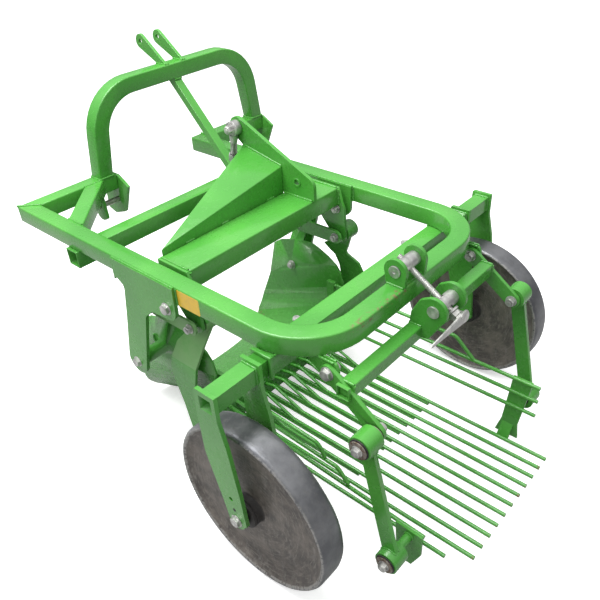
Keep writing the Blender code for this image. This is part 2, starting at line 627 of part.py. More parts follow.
# ---------------------------------------------------------------- rocker and drive
def rocker():
    """The rocking beam: end plates with pins for the sieve, a wedge and the drive lever."""
    beam = box_mesh((ARM_INNER["left"] + GAP, BEAM_REAR, BEAM_BOTTOM),
                    (ARM_INNER["right"] - GAP, BEAM_FRONT, RAIL_TOP))
    pieces = [add_part("rocker_beam", beam, GREEN)]

    pivot = (ROCKER_Y, ROCKER_Z)
    hanger = (HANGER_Y, HANGER_Z)
    outline = [(BEAM_FRONT, BEAM_BOTTOM), (BEAM_FRONT, RAIL_TOP), (BEAM_REAR, RAIL_TOP)]
    outline += arc(pivot, PIVOT_LUG_R, 140, 185, 4) + arc(hanger, HANGER_END_R, 185, 330, 10)
    for side in HAND:
        low, high = sorted((ARM_OUTER[side], ARM_INNER[side]))
        arm = slab("rocker_arm_" + side, outline, "X", low, high,
                   holes=[ring(pivot, ROCKER_PIN_D + 2 * PIN_PLAY)])
        start = FLAT_LINK_X[side] - PIN_OUT
        end = HUB_LOW[side] + BUSH_LENGTH + PIN_OUT
        join(arm, cylinder_mesh((start, *hanger), (end, *hanger), HANGER_PIN_D, 16))
        pieces.append(arm)

    heel = BEAM_FRONT + GAP
    face = LEVER_X - GAP
    wedge = bmesh.new()
    for corner in ((WEDGE_END, heel, WEDGE_FOOT), (WEDGE_END, heel, WEDGE_LOW),
                   (face, heel, WEDGE_FOOT), (face, heel, WEDGE_TALL),
                   (face, WEDGE_NOSE_Y, WEDGE_NOSE_LOW), (face, WEDGE_NOSE_Y, WEDGE_NOSE_TALL)):
        wedge.verts.new(corner)
    bmesh.ops.convex_hull(wedge, input=wedge.verts)
    mesh = bpy.data.meshes.new("wedge")
    wedge.to_mesh(mesh)
    wedge.free()
    pieces.append(add_part("rocker_gusset", mesh, GREEN))

    front = (LEVER_FRONT_Y, LEVER_FRONT_Z)
    rear = (LEVER_REAR_Y, LEVER_REAR_Z)
    lift = math.degrees(math.atan2(front[1] - rear[1], front[0] - rear[0]))
    outline = ([(LEVER_FOOT_Y, RAIL_TOP + GAP)] + arc(front, LEVER_R, lift - 75, lift + 90, 10)
               + arc(rear, LEVER_R, lift + 90, 180, 6) + [(rear[0] - LEVER_R, RAIL_TOP + GAP)])
    lever = slab("rocker_lever", outline, "X", LEVER_X, LEVER_X + LEVER_THICK,
                 holes=[ring((LEVER_HOLE_Y, LEVER_HOLE_Z), LEVER_HOLE_D)])
    eye_low = LEVER_X - 2 * GAP - DRIVE_EYE_W
    join(lever, cylinder_mesh((eye_low - DRIVE_PIN_OUT, *front),
                              (LEVER_X + LEVER_THICK + DRIVE_PIN_OUT, *front), DRIVE_PIN_D, 16))
    pieces.append(lever)
    at_joint(ROCKER_Y, ROCKER_Z, *pieces)

    foot = (LEVER_FRONT_Y + DRIVE_ROD_RUN, LEVER_FRONT_Z - DRIVE_ROD_LENGTH)
    rod_x = eye_low + DRIVE_EYE_W / 2
    rod = add_part("drive_rod", cylinder_mesh((eye_low, *front), (eye_low + DRIVE_EYE_W, *front),
                                              DRIVE_EYE_D), ZINC)
    join(rod, cylinder_mesh((rod_x, *front), (rod_x, *foot), DRIVE_ROD_D, 16))
    cut(rod, cylinder_mesh((eye_low - DRIVE_PIN_OUT, *front), (LEVER_X + DRIVE_PIN_OUT, *front),
                           DRIVE_PIN_D + 2 * PIN_PLAY, 16))
    at_joint(LEVER_FRONT_Y, LEVER_FRONT_Z, rod)


# ---------------------------------------------------------------- share
def share():
    """The digging trough: one bent sheet, with collars on its pivots and ears for the links."""
    half, skin, top = SHARE_HALF, SHARE_SKIN, SHARE_WALL_TOP
    sheet = rounded([(-half, top, 0), (-half, 0, SHARE_CORNER), (half, 0, SHARE_CORNER),
                     (half, top, 0), (half - skin, top, 0),
                     (half - skin, skin, SHARE_CORNER - skin),
                     (-half + skin, skin, SHARE_CORNER - skin), (-half + skin, top, 0)], 10)
    mesh = slab_mesh(sheet, "Y", SHARE_Y - top / 2, SHARE_Y + top / 2)
    fall = 10 * SHARE_FALL
    for vertex in mesh.vertices:
        vertex.co.z += (SHARE_ZERO_Y - vertex.co.y) * fall
    trough = add_part("share_trough", mesh, GREEN)

    low = -top / 2
    side = list(SHARE_WALL_FRONT + SHARE_WALL_REAR)
    side += [(SHARE_FLOOR_REAR, 0.0), (SHARE_FLOOR_REAR, low), (SHARE_HORN_Y, low), (SHARE_HORN_Y, 0.010)]
    combine(trough, [slab_mesh(side, "X", -2 * half, 2 * half)], "INTERSECT")

    set_back = SHARE_HORN_Y - SHARE_TIP_Y
    edge_r = (half ** 2 + set_back ** 2) / (2 * set_back)
    spread = math.degrees(math.asin(EDGE_SPREAD * half / edge_r))
    edge = arc((0, SHARE_TIP_Y + edge_r), edge_r, 270 - spread, 270 + spread, 16)
    edge += [(2 * half, SHARE_HORN_Y + top), (-2 * half, SHARE_HORN_Y + top)]
    cut(trough, slab_mesh(edge, "Z", low, top))

    pivot = (SHARE_Y, SHARE_Z)
    link = (SHARE_LINK_Y, SHARE_LINK_Z)
    ear = strap((SHARE_EAR_FOOT_Y, SHARE_EAR_FOOT_Z), link, SHARE_EAR_R)
    sink = SHARE_SKIN / 4
    for side_name, hand in HAND.items():
        ear_low, ear_high = sorted((hand * (half - sink), hand * (half + SHARE_EAR)))
        join(trough, slab_mesh(ear, "X", ear_low, ear_high))
        plate = PLATE_OUTER[side_name] + PLATE + GAP if hand < 0 else PLATE_OUTER[side_name] - GAP
        join(trough, cylinder_mesh((hand * (half - 2 * sink), *pivot), (plate, *pivot), SHARE_COLLAR_D))
        pin_low = FLAT_LINK_X[side_name] - PIN_OUT * 2 / 3
        pin_high = hand * (half + SHARE_EAR / 2) + (0 if hand > 0 else SHARE_EAR / 4)
        join(trough, cylinder_mesh((pin_low, *link), (pin_high, *link), SHARE_LINK_PIN_D, 16))
    cut(trough, cylinder_mesh((-2 * half, *pivot), (2 * half, *pivot), SHARE_PIN_D + 2 * PIN_PLAY))
    at_joint(SHARE_Y, SHARE_Z, trough)

    hanger = (HANGER_Y, HANGER_Z)
    for side_name in HAND:
        face = FLAT_LINK_X[side_name]
        bar = slab("share_link_" + side_name, strap(link, hanger, FLAT_LINK_R), "X",
                   face, face + FLAT_LINK,
                   holes=[ring(hanger, HANGER_PIN_D + 2 * PIN_PLAY, 16),
                          ring(link, SHARE_LINK_PIN_D + 2 * LINK_SLACK, 16)])
        at_joint(HANGER_Y, HANGER_Z, bar)


# ---------------------------------------------------------------- sieve
def sieve():
    """The shaking floor of rods, its two sides and the arms that hang it from the rocker."""
    bar_rear = SIEVE_FRONT - SIEVE_BAR
    floor = add_part("sieve_floor", box_mesh((-BAR_END["left"], bar_rear, SIEVE_BAR_BOTTOM),
                                             (BAR_END["right"], SIEVE_FRONT, SIEVE_BAR_TOP)), GREEN)
    lines = []
    middle_y = SIEVE_FRONT - SIEVE_BAR / 2
    bearer_z = ROD_Z - BEARER_SINK * (ROD_D + BEARER_D) / 2
    for i in range(ROD_FIRST, ROD_LAST + 1):
        x = i * ROD_PITCH
        rear = SHORT_ROD_REAR if i == ROD_FIRST else SIEVE_REAR
        lines.append(rod_mesh([(x, middle_y, ROD_Z), (x, rear, ROD_Z)], ROD_D))
        if i > ROD_FIRST + 1:
            lines.append(rod_mesh([(x, middle_y, bearer_z), (x, BEARER_REAR, bearer_z)], BEARER_D))
        if i > ROD_FIRST:
            lines.append(rod_mesh([(x, y, z) for y, z in GUIDE_LINE], GUIDE_D))
    join(floor, *lines)
    pieces = [floor] + [sieve_side(side) for side in HAND]
    for side in HAND:
        pieces += sieve_arm(side)
    at_joint(HANGER_Y, HANGER_Z, *pieces)


def sieve_side(side):
    """A post, bent rods, the rib that carries the rear hub's pin, and the tongue under the floor."""
    hand = HAND[side]
    front_x, rear_x = SIDE_FRONT_X[side], SIDE_REAR_X[side]
    bar_rear = SIEVE_FRONT - SIEVE_BAR
    long_run = SIDE_RODS[side][0][0][0] - SIDE_RODS[side][0][1][0]

    def along(y):
        return front_x + (rear_x - front_x) * (SIDE_RODS[side][0][0][0] - y) / long_run

    wall = add_part("sieve_side_" + side,
                    box_mesh((front_x - SIEVE_POST / 2, bar_rear - POST_RUN, SIEVE_BAR_BOTTOM),
                             (front_x + SIEVE_POST / 2, bar_rear - GAP, POST_TOP[side])), GREEN)
    rods = [rod_mesh([(along(y), y, z) for y, z in line], ROD_D, tilt=ROD_TURN) for line in SIDE_RODS[side]]
    near = rear_x + hand * ROD_D / 4
    face = near + hand * RIB_PLATE
    rods.append(slab_mesh(RIB[side], "X", min(near, face), max(near, face)))
    tongue = [(near + hand * (RIB_PLATE / 2 - inward), z) for inward, z in TONGUE]
    rods.append(slab_mesh(tongue, "Y", TONGUE_REAR, TONGUE_FRONT))
    foot = (LINK_FOOT_Y, LINK_FOOT_Z)
    low = rear_hub_low(side)
    hub_face, far_face = (low + BUSH_LENGTH, low) if side == "left" else (low, low + BUSH_LENGTH)
    rods.append(cylinder_mesh((near + hand * RIB_PLATE / 2, *foot), (far_face + hand * PIN_OUT, *foot),
                              HANGER_PIN_D, 16))
    rods.append(cylinder_mesh((near + hand * RIB_PLATE / 4, *foot), (hub_face - hand * GAP, *foot),
                              FOOT_BOSS_D, 16))
    return join(wall, *rods)


def sieve_arm(side):
    """A folded plate from the floor's front bar to a hub, and the hub's rubber bush."""
    hand = HAND[side]
    hanger = (HANGER_Y, HANGER_Z)
    near = hand * (BAR_END[side] + GAP)
    low, high = sorted((near, near + hand * ARM_PLATE))
    plate = fold(slab_mesh(rounded(ARM_CORNERS[side], 4), "X", low, high), ARM_FOLD_Z, ARM_LEAN[side])
    arm = add_part("sieve_arm_" + side, plate, GREEN)
    eye = (HUB_LOW[side], HUB_LOW[side] + BUSH_LENGTH)
    join(arm, cylinder_mesh((eye[0], *hanger), (eye[1], *hanger), BUSH_D))
    cut(arm, cylinder_mesh((eye[0] - PIN_OUT, *hanger), (eye[1] + PIN_OUT, *hanger),
                           RUBBER_D + 2 * PIN_PLAY))
    bush = add_part("sieve_bush_" + side,
                    cylinder_mesh((eye[0], *hanger), (eye[1], *hanger), RUBBER_D), BLACK)
    cut(bush, cylinder_mesh((eye[0] - PIN_OUT, *hanger), (eye[1] + PIN_OUT, *hanger),
                            HANGER_PIN_D + 2 * PIN_PLAY, 16))
    return [arm, bush]


# ---------------------------------------------------------------- rear lever and screw
def rear_arm_outer(side):
    """The outer face of one of the rear lever's arms."""
    return HAND[side] * (FRAME_HALF - REAR_ARM_INSET[side])


def rear_hub_low(side):
    """The left end of a swing link's hub."""
    if side == "left":
        return rear_arm_outer(side) - REAR_HUB_SPACE[side] - BUSH_LENGTH
    return rear_arm_outer(side) + REAR_HUB_SPACE[side]


def rear_lever():
    """The cross lever that lifts the sieve's rear, with its arms, hangers and swing links."""
    pivot = (LEVER_PIVOT_Y, LEVER_PIVOT_Z)
    nut = (SCREW_NUT_Y, SCREW_NUT_Z)
    half = REAR_TUBE / 2
    arms = {side: sorted((rear_arm_outer(side), rear_arm_outer(side) - HAND[side] * REAR_ARM))
            for side in HAND}
    tube = add_part("rear_lever_tube",
                    box_mesh((arms["left"][1] + GAP, REAR_TUBE_Y - half, REAR_TUBE_Z - half),
                             (arms["right"][0] - GAP, REAR_TUBE_Y + half, REAR_TUBE_Z + half)), GREEN)
    cheek = list(CHEEK_FOOT) + arc(nut, SCREW_CHEEK_R, 65, 225, 12) + list(CHEEK_UNDER)
    cheeks = []
    for hand in HAND.values():
        middle = SCREW_X + hand * SCREW_EAR_PITCH / 2
        cheeks.append(slab_mesh(cheek, "X", middle - SCREW_EAR / 2, middle + SCREW_EAR / 2))
    join(tube, *cheeks)
    cut(tube, cylinder_mesh((SCREW_X - SCREW_EAR_PITCH, *nut), (SCREW_X + SCREW_EAR_PITCH, *nut),
                            TRUNNION_D + 2 * GAP))
    at_joint(*pivot, tube)
    for side in HAND:
        arm_and_link(side, arms[side])


def arm_and_link(side, arm_faces):
    """One arm of the rear lever, the hanger that carries it, its swing link and the link's bush."""
    pivot = (LEVER_PIVOT_Y, LEVER_PIVOT_Z)
    top = (LINK_TOP_Y, LINK_TOP_Z)
    foot = (LINK_FOOT_Y, LINK_FOOT_Z)
    low, high = arm_faces
    arm = slab("rear_lever_arm_" + side, strap(pivot, top, REAR_ARM_R), "X", low, high,
               holes=[ring(pivot, ROCKER_PIN_D + 2 * PIN_PLAY), ring(top, HANGER_PIN_D + 2 * PIN_PLAY, 16)])
    hanger = slab("lever_hanger_" + side, rounded(HANGER_CORNERS, 5), "X",
                  high + GAP, high + GAP + HANGER_PLATE)
    join(hanger, cylinder_mesh((low - PIN_OUT, *pivot), (high + GAP + HANGER_PLATE + PIN_OUT, *pivot),
                               ROCKER_PIN_D))
    at_joint(*pivot, arm, hanger)

    eye = (rear_hub_low(side), rear_hub_low(side) + BUSH_LENGTH)
    middle = sum(eye) / 2
    link = slab("swing_link_" + side, strap(top, foot, SWING_LINK_W / 2), "X",
                middle - SWING_LINK_T / 2, middle + SWING_LINK_T / 2)
    join(link, cylinder_mesh((eye[0], *top), (eye[1], *top), BUSH_D),
         cylinder_mesh((eye[0], *foot), (eye[1], *foot), BUSH_D))
    cut(link, cylinder_mesh((eye[0] - PIN_OUT, *top), (eye[1] + PIN_OUT, *top), RUBBER_D + 2 * PIN_PLAY),
        cylinder_mesh((eye[0] - PIN_OUT, *foot), (eye[1] + PIN_OUT, *foot), LINK_FOOT_BORE))
    bush = add_part("swing_bush_" + side,
                    cylinder_mesh((eye[0], *top), (eye[1], *top), RUBBER_D), BLACK)
    pin = (min(eye[0], low) - PIN_OUT, max(eye[1], high) + PIN_OUT)
    join(bush, cylinder_mesh((pin[0], *top), (pin[1], *top), HANGER_PIN_D, 16))
    at_joint(*top, link, bush)


def screw():
    """The spindle that sets the rear lever: bracket on the loop, spindle with its crank, nut."""
    nut = Vector((SCREW_NUT_Y, SCREW_NUT_Z))
    upper = Vector((SCREW_TOP_Y, SCREW_TOP_Z))
    along = (nut - upper).normalized()
    inner_half = SCREW_EAR_PITCH / 2 - SCREW_EAR / 2 - GAP
    trunnion_half = SCREW_EAR_PITCH / 2 + SCREW_EAR / 2 + TRUNNION_OUT

    def across_bar(name, centre):
        body = add_part(name, cylinder_mesh((SCREW_X - inner_half, *centre),
                                            (SCREW_X + inner_half, *centre), NUT_PIN_D), ZINC)
        return join(body, cylinder_mesh((SCREW_X - trunnion_half, *centre),
                                        (SCREW_X + trunnion_half, *centre), TRUNNION_D))

    block = across_bar("screw_nut", nut)
    near, far = nut - along * 1.5 * NUT_PIN_D, nut + along * 1.5 * NUT_PIN_D
    cut(block, cylinder_mesh((SCREW_X, *near), (SCREW_X, *far), SPINDLE_D + 2 * SPINDLE_SLACK))
    at_joint(LEVER_PIVOT_Y, LEVER_PIVOT_Z, block)

    foot = RAIL_TOP + GAP
    ear = [(LOOP_REAR + RAIL, foot)] + arc(upper, SCREW_EAR_R, 0, 180, 12) + [(LOOP_REAR, foot)]
    ears = []
    for hand in HAND.values():
        middle = SCREW_X + hand * SCREW_EAR_PITCH / 2
        ears.append(slab_mesh(ear, "X", middle - SCREW_EAR / 2, middle + SCREW_EAR / 2))
    inset = BRACKET_BASE
    base = box_mesh((SCREW_X - SCREW_EAR_PITCH / 2, LOOP_REAR + inset, foot),
                    (SCREW_X + SCREW_EAR_PITCH / 2, LOOP_REAR + RAIL - inset, foot + BRACKET_BASE))
    bracket = join(add_part("screw_bracket", base, GREEN), *ears)
    cut(bracket, cylinder_mesh((SCREW_X - SCREW_EAR_PITCH, *upper), (SCREW_X + SCREW_EAR_PITCH, *upper),
                               TRUNNION_D + 2 * PIN_PLAY))

    spindle = across_bar("adjusting_screw", upper)
    head = upper - along * SPINDLE_HEAD
    end = nut + along * SPINDLE_BEYOND
    crank = slab_mesh(arc((CRANK_SHORT - CRANK_R, 0), CRANK_R, -85, 85, 8)
                      + arc((-CRANK_LONG + CRANK_TIP_R, 0), CRANK_TIP_R, 95, 265, 6),
                      "Z", -CRANK_T / 2, CRANK_T / 2)
    lean = Matrix(((1, 0, 0, SCREW_X), (0, -along.y, along.x, end.x - along.x * CRANK_T),
                   (0, along.x, along.y, end.y - along.y * CRANK_T), (0, 0, 0, 1)))
    crank.transform(lean)
    if lean.determinant() < 0:
        crank.flip_normals()
    join(spindle, cylinder_mesh((SCREW_X, *head), (SCREW_X, *end), SPINDLE_D, 16), crank)
    at_joint(*upper, spindle)


# ---------------------------------------------------------------- wheels
def wheel(side):
    """A smooth steel gauge wheel with dished sides, turning on an axle in its fork."""
    half = WHEEL_WIDTH / 2
    hub_half = FORK_GAP / 2 - HUB_SPACE_SIDE
    bore = AXLE_D / 2 + PIN_PLAY
    rim = WHEEL_R - WHEEL_SHOULDER
    floor = half - WHEEL_DISH
    profile = [(bore, hub_half), (HUB_D / 2, hub_half), (HUB_D / 2, floor),
               (rim - WHEEL_RIM, half - WHEEL_DISH / 2), (rim, half)]
    profile += [(rim + u, half - WHEEL_SHOULDER + v)
                for u, v in arc((0, 0), WHEEL_SHOULDER, 60, 0, 2)]
    profile += [(r, -x) for r, x in reversed(profile)]
    work = bmesh.new()
    loop = [work.verts.new((x, r, 0)) for r, x in profile]
    edges = [work.edges.new((loop[i], loop[(i + 1) % len(loop)])) for i in range(len(loop))]
    bmesh.ops.spin(work, geom=loop + edges, cent=(0, 0, 0), axis=(1, 0, 0),
                   angle=math.tau, steps=64, use_merge=True)
    bmesh.ops.remove_doubles(work, verts=work.verts, dist=0.00001)
    bmesh.ops.recalc_face_normals(work, faces=work.faces)
    work.transform(Matrix.Translation((FORK_X[side], 0, WHEEL_R)))
    mesh = bpy.data.meshes.new("wheel")
    work.to_mesh(mesh)
    work.free()
    mesh.shade_smooth()
    mesh.set_sharp_from_angle(angle=math.radians(35))
    part = add_part("wheel_" + side, mesh, WHEEL_STEEL)
    at_joint(0, WHEEL_R, part)


def fork(side):
    """Two arms welded to a square tube that slides in the wheel beam, and the axle bolt."""
    hand, centre = HAND[side], FORK_X[side]
    bolt = (0.0, WHEEL_R)
    arm = rounded(FORK_HEAD, 4) + arc(bolt, FORK_FOOT_W / 2, -10, -170, 10)[1:] + rounded(FORK_REAR, 4)
    holes = [ring(bolt, AXLE_D + 2 * GAP), ring((FORK_HOLE_Y, FORK_HOLE_Z), FORK_HOLE_D, 12)]
    faces = (centre - FORK_GAP / 2 - FORK_ARM, centre + FORK_GAP / 2)
    part = slab("wheel_fork_" + side, arm, "X", faces[0], faces[0] + FORK_ARM, holes=holes)
    half = FORK_TUBE / 2
    outer = faces[0] + 2 * GAP if side == "left" else faces[1] + FORK_ARM - 2 * GAP
    inner = hand * FORK_TUBE_INNER
    tube = box_mesh((min(outer, inner), WHEEL_BEAM_Y - half, BEAM_MIDDLE - half),
                    (max(outer, inner), WHEEL_BEAM_Y + half, BEAM_MIDDLE + half))
    join(part, slab_mesh(arm, "X", faces[1], faces[1] + FORK_ARM, holes), tube)
    bore = half - TUBE_WALL
    mouth = sorted((outer - hand * OPEN_END, outer + hand * OPEN_END))
    cut(part, box_mesh((mouth[0], WHEEL_BEAM_Y - bore, BEAM_MIDDLE - bore),
                       (mouth[1], WHEEL_BEAM_Y + bore, BEAM_MIDDLE + bore)))
    heads = ((faces[0] - GAP - AXLE_HEAD, faces[0] - GAP),
             (faces[1] + FORK_ARM + GAP, faces[1] + FORK_ARM + GAP + AXLE_HEAD))
    axle = add_part("axle_" + side, cylinder_mesh((heads[0][0], *bolt), (heads[1][1], *bolt), AXLE_D), ZINC)
    join(axle, *[cylinder_mesh((low, *bolt), (high, *bolt), AXLE_HEAD_D, 6) for low, high in heads])


# ---------------------------------------------------------------- the whole machine
def build():
    u_frame()
    headstock()
    crossbeams()
    side_plates()
    rocker()
    share()
    sieve()
    rear_lever()
    screw()
    for side in HAND:
        wheel(side)
        fork(side)


def centre_on_ground():
    """Move every piece so that the whole box's middle stands over the origin."""
    bpy.context.view_layer.update()
    corners = [part.matrix_world @ vertex.co for part in parts.objects for vertex in part.data.vertices]
    low = Vector(min(c[i] for c in corners) for i in range(3))
    high = Vector(max(c[i] for c in corners) for i in range(3))
    shift = Vector((-(low.x + high.x) / 2, -(low.y + high.y) / 2, -low.z))
    for part in parts.objects:
        part.location += shift


build()
centre_on_ground()
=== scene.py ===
"""Sweet potato harvester: the finished look around the fixed CAD frame."""

import json
import math
import random

import bmesh
import bpy
from mathutils import Matrix, Vector, noise


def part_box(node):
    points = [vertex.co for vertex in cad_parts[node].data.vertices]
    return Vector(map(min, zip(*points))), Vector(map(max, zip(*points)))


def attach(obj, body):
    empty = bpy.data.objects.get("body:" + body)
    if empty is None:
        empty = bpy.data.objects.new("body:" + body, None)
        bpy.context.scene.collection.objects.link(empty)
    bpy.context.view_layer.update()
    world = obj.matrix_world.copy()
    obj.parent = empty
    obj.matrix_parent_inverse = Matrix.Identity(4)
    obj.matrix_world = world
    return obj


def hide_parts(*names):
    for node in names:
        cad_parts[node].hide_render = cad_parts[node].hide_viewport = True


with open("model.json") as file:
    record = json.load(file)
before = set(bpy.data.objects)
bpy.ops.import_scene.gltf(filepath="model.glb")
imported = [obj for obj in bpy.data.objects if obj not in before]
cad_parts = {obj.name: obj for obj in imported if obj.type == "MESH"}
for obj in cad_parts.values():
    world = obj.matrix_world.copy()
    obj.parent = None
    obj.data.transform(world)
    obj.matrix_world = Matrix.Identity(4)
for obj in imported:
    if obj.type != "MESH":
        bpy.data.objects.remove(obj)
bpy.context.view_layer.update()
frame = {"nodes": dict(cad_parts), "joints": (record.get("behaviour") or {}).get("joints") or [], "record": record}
BODIES = frame["record"]["behaviour"]["bodies"]
BODY_OF = {node: body for body, nodes in BODIES.items() for node in nodes}
JOINT_AT = {joint["name"]: Vector(joint["pos_m"]) for joint in frame["joints"]}


# ---------------------------------------------------------------- the U frame
# One square steel tube bent into a U, with two front bars, a corner brace and MIG welds.
# All of it is sprayed in one gloss green coat over welds and mill scale; the coat is a
# little uneven, and rubbed through to rusty steel along the top of the loop's rear edge.
rail_low, rail_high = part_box("main_rail")
CENTRE = Vector(((rail_low.x + rail_high.x) / 2, JOINT_AT["wheel_left_turn"].y, 0))
RAIL_HALF = (rail_high.x - rail_low.x) / 2
RAIL = 0.060
RAIL_INNER = RAIL_HALF - RAIL
RAIL_TOP = rail_high.z
RAIL_UNDER = RAIL_TOP - RAIL
BAR_REAR, BAR_FRONT = 1.200, 1.260
LEFT_FOOT = (-0.125, -0.065)        # the arch's feet on the front bars, low and high x
RIGHT_FOOT = (0.690, 0.750)
BRACE_X, BRACE_Y = (-0.196, -0.114), (0.942, 1.020)     # where the brace meets the bar and the rail
BEVEL_FROM = 28                     # degrees between two faces, from which their edge is rounded


def at(x, y, z):
    """A place given from the frame's centre line, the wheel axle and the ground."""
    return CENTRE + Vector((x, y, z))


class Value:
    """A shader socket that takes part in arithmetic; each operation adds a Math node."""

    def __init__(self, paint, socket):
        self.paint, self.socket = paint, socket

    def _math(self, operation, *values):
        return self.paint.node("ShaderNodeMath", {"operation": operation}, dict(enumerate(values)))

    def __add__(self, other): return self._math("ADD", self, other)
    def __sub__(self, other): return self._math("SUBTRACT", self, other)
    def __rsub__(self, other): return self._math("SUBTRACT", other, self)
    def __mul__(self, other): return self._math("MULTIPLY", self, other)
    def __truediv__(self, other): return self._math("DIVIDE", self, other)
    def __pow__(self, other): return self._math("POWER", self, other)
    def least(self, other): return self._math("MINIMUM", self, other)
    def most(self, other): return self._math("MAXIMUM", self, other)
    def size(self): return self._math("ABSOLUTE", self)

    def ramp(self, low, high):
        """0 below low, 1 above high, smooth between."""
        return self.paint.node("ShaderNodeMapRange", {"interpolation_type": "SMOOTHSTEP"},
                               {0: self, 1: low, 2: high, 3: 0.0, 4: 1.0})


def put(tree, socket, value):
    if isinstance(value, bpy.types.NodeSocket):
        tree.links.new(value, socket)
    else:
        socket.default_value = value


def add_node(tree, kind, settings=None, sockets=None):
    """A node with its settings; a socket takes a plain value or another node's output."""
    made = tree.nodes.new(kind)
    for name, value in (settings or {}).items():
        setattr(made, name, value)
    for key, value in (sockets or {}).items():
        put(tree, made.inputs[key], value)
    return made


class Finish:
    """One material being written: its nodes, the shader they feed, and its slot in the record."""

    def __init__(self, name, slot, roughness=0.5, metallic=0.0, coat=0.0):
        self.material = bpy.data.materials.new(name)
        self.material["slot"] = slot
        self.material.use_nodes = True
        self.tree = self.material.node_tree
        self.shader = self.tree.nodes["Principled BSDF"]
        self.shader.inputs["Roughness"].default_value = roughness
        self.shader.inputs["Metallic"].default_value = metallic
        self.shader.inputs["Coat Weight"].default_value = coat
        self.shader.inputs["Coat Roughness"].default_value = 0.10
        place = self.tree.nodes.new("ShaderNodeTexCoord")
        self.place = Value(self, place.outputs["Object"])

    def node(self, kind, settings=None, sockets=None, output=0):
        plain = {key: getattr(value, "socket", value) for key, value in (sockets or {}).items()}
        return Value(self, add_node(self.tree, kind, settings, plain).outputs[output])

    def noise(self, scale, detail=3.0, roughness=0.55, stretch=(1, 1, 1)):
        """A noise value from 0 to 1; stretch squeezes the pattern along an axis."""
        place = self.node("ShaderNodeMapping", {}, {"Vector": self.place, "Scale": stretch})
        return self.node("ShaderNodeTexNoise", {}, {"Vector": place, "Scale": scale,
                                                    "Detail": detail, "Roughness": roughness})

    def axis(self, which):
        """One coordinate of the surface, in metres."""
        return self.node("ShaderNodeSeparateXYZ", {}, {0: self.place}, "XYZ".index(which))

    def near(self, middle, reach, edge=0.55):
        """1 at a place, falling to 0 from a share of its reach along each axis."""
        mask = None
        for which, centre, far in zip("XYZ", middle, reach):
            part = 1 - ((self.axis(which) - centre).size() / far).ramp(edge, 1.0)
            mask = part if mask is None else mask * part
        return mask

    def mix(self, share, first, second):
        """A colour between two colours."""
        first, second = (c if isinstance(c, Value) else (*c, 1.0) for c in (first, second))
        return self.node("ShaderNodeMix", {"data_type": "RGBA"}, {0: share, 6: first, 7: second}, 2)

    def feed(self, socket, value):
        self.tree.links.new(value.socket, self.shader.inputs[socket])

    def bump(self, height, strength, distance):
        """Raise the surface by a height pattern; distance is in metres."""
        self.feed("Normal", self.node("ShaderNodeBump", {}, {"Height": height, "Strength": strength,
                                                             "Distance": distance}))


def green_coat(name, worn=None, dusty=None):
    """Gloss green; worn and dusty each give a place and its reach along the axes."""
    paint = Finish(name, "green_paint", coat=0.25)
    broad = paint.noise(3.0, 2.0)
    fine = paint.noise(38.0, 4.0)
    speck = paint.noise(260.0, 3.0, 0.6)
    green = paint.mix(broad.ramp(0.35, 0.68), (0.066, 0.325, 0.042), (0.092, 0.400, 0.056))
    film = paint.noise(9.0, 5.0, 0.65).ramp(0.48, 0.80) * 0.22
    green = paint.mix(film, green, (0.150, 0.370, 0.100))
    spots = speck.ramp(0.66, 0.76) * fine.ramp(0.52, 0.68) * 0.6
    green = paint.mix(spots, green, (0.030, 0.130, 0.022))
    gloss = fine.ramp(0.3, 0.75) * 0.12 + 0.20 + film * 0.5
    if dusty:
        patchy = paint.noise(14.0, 5.0, 0.7).ramp(0.15, 0.50) * 0.45 + 0.15
        mask = paint.near(*dusty, edge=0.96) * patchy
        green = paint.mix(mask, green, (0.260, 0.450, 0.200))
        gloss = gloss + mask * 0.5
    if worn:
        mask = (paint.near(*worn) * paint.noise(65.0, 6.0, 0.8).ramp(0.50, 0.60)).least(1.0)
        rust = paint.mix(paint.noise(130.0, 4.0).ramp(0.35, 0.65),
                         (0.075, 0.038, 0.018), (0.240, 0.140, 0.075))
        green = paint.mix(mask, green, rust)
        gloss = gloss + mask * 0.5
    paint.feed("Base Color", green)
    paint.feed("Roughness", gloss)
    paint.bump(paint.noise(110.0, 2.0, 0.5) * 0.5 + broad * 0.5 + speck * 0.12, 0.12, 0.0012)
    return paint.material


def place_piece(name, mesh, finish, body, nodes=(), crease=32):
    """A finished mesh in the scene: its finish, its body, and the CAD nodes it stands for."""
    mesh.name = name
    mesh.materials.clear()
    mesh.materials.append(finish)
    mesh.shade_smooth()
    mesh.set_sharp_from_angle(angle=math.radians(crease))
    piece = bpy.data.objects.new(name, mesh)
    bpy.context.scene.collection.objects.link(piece)
    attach(piece, body)
    if nodes:
        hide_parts(*nodes)


def modified(mesh, kind, inputs=None, **settings):
    """The mesh as one modifier leaves it; inputs are a geometry tree's own, by name."""
    holder = bpy.data.objects.new("holder", mesh)
    bpy.context.scene.collection.objects.link(holder)
    modifier = holder.modifiers.new("maker", kind)
    for name, value in settings.items():
        setattr(modifier, name, value)
    for item in modifier.node_group.interface.items_tree if inputs else ():
        if item.in_out == "INPUT" and item.name in inputs:
            modifier[item.identifier] = inputs[item.name]
    graph = bpy.context.evaluated_depsgraph_get()
    mesh = bpy.data.meshes.new_from_object(holder.evaluated_get(graph))
    bpy.data.objects.remove(holder)
    return mesh


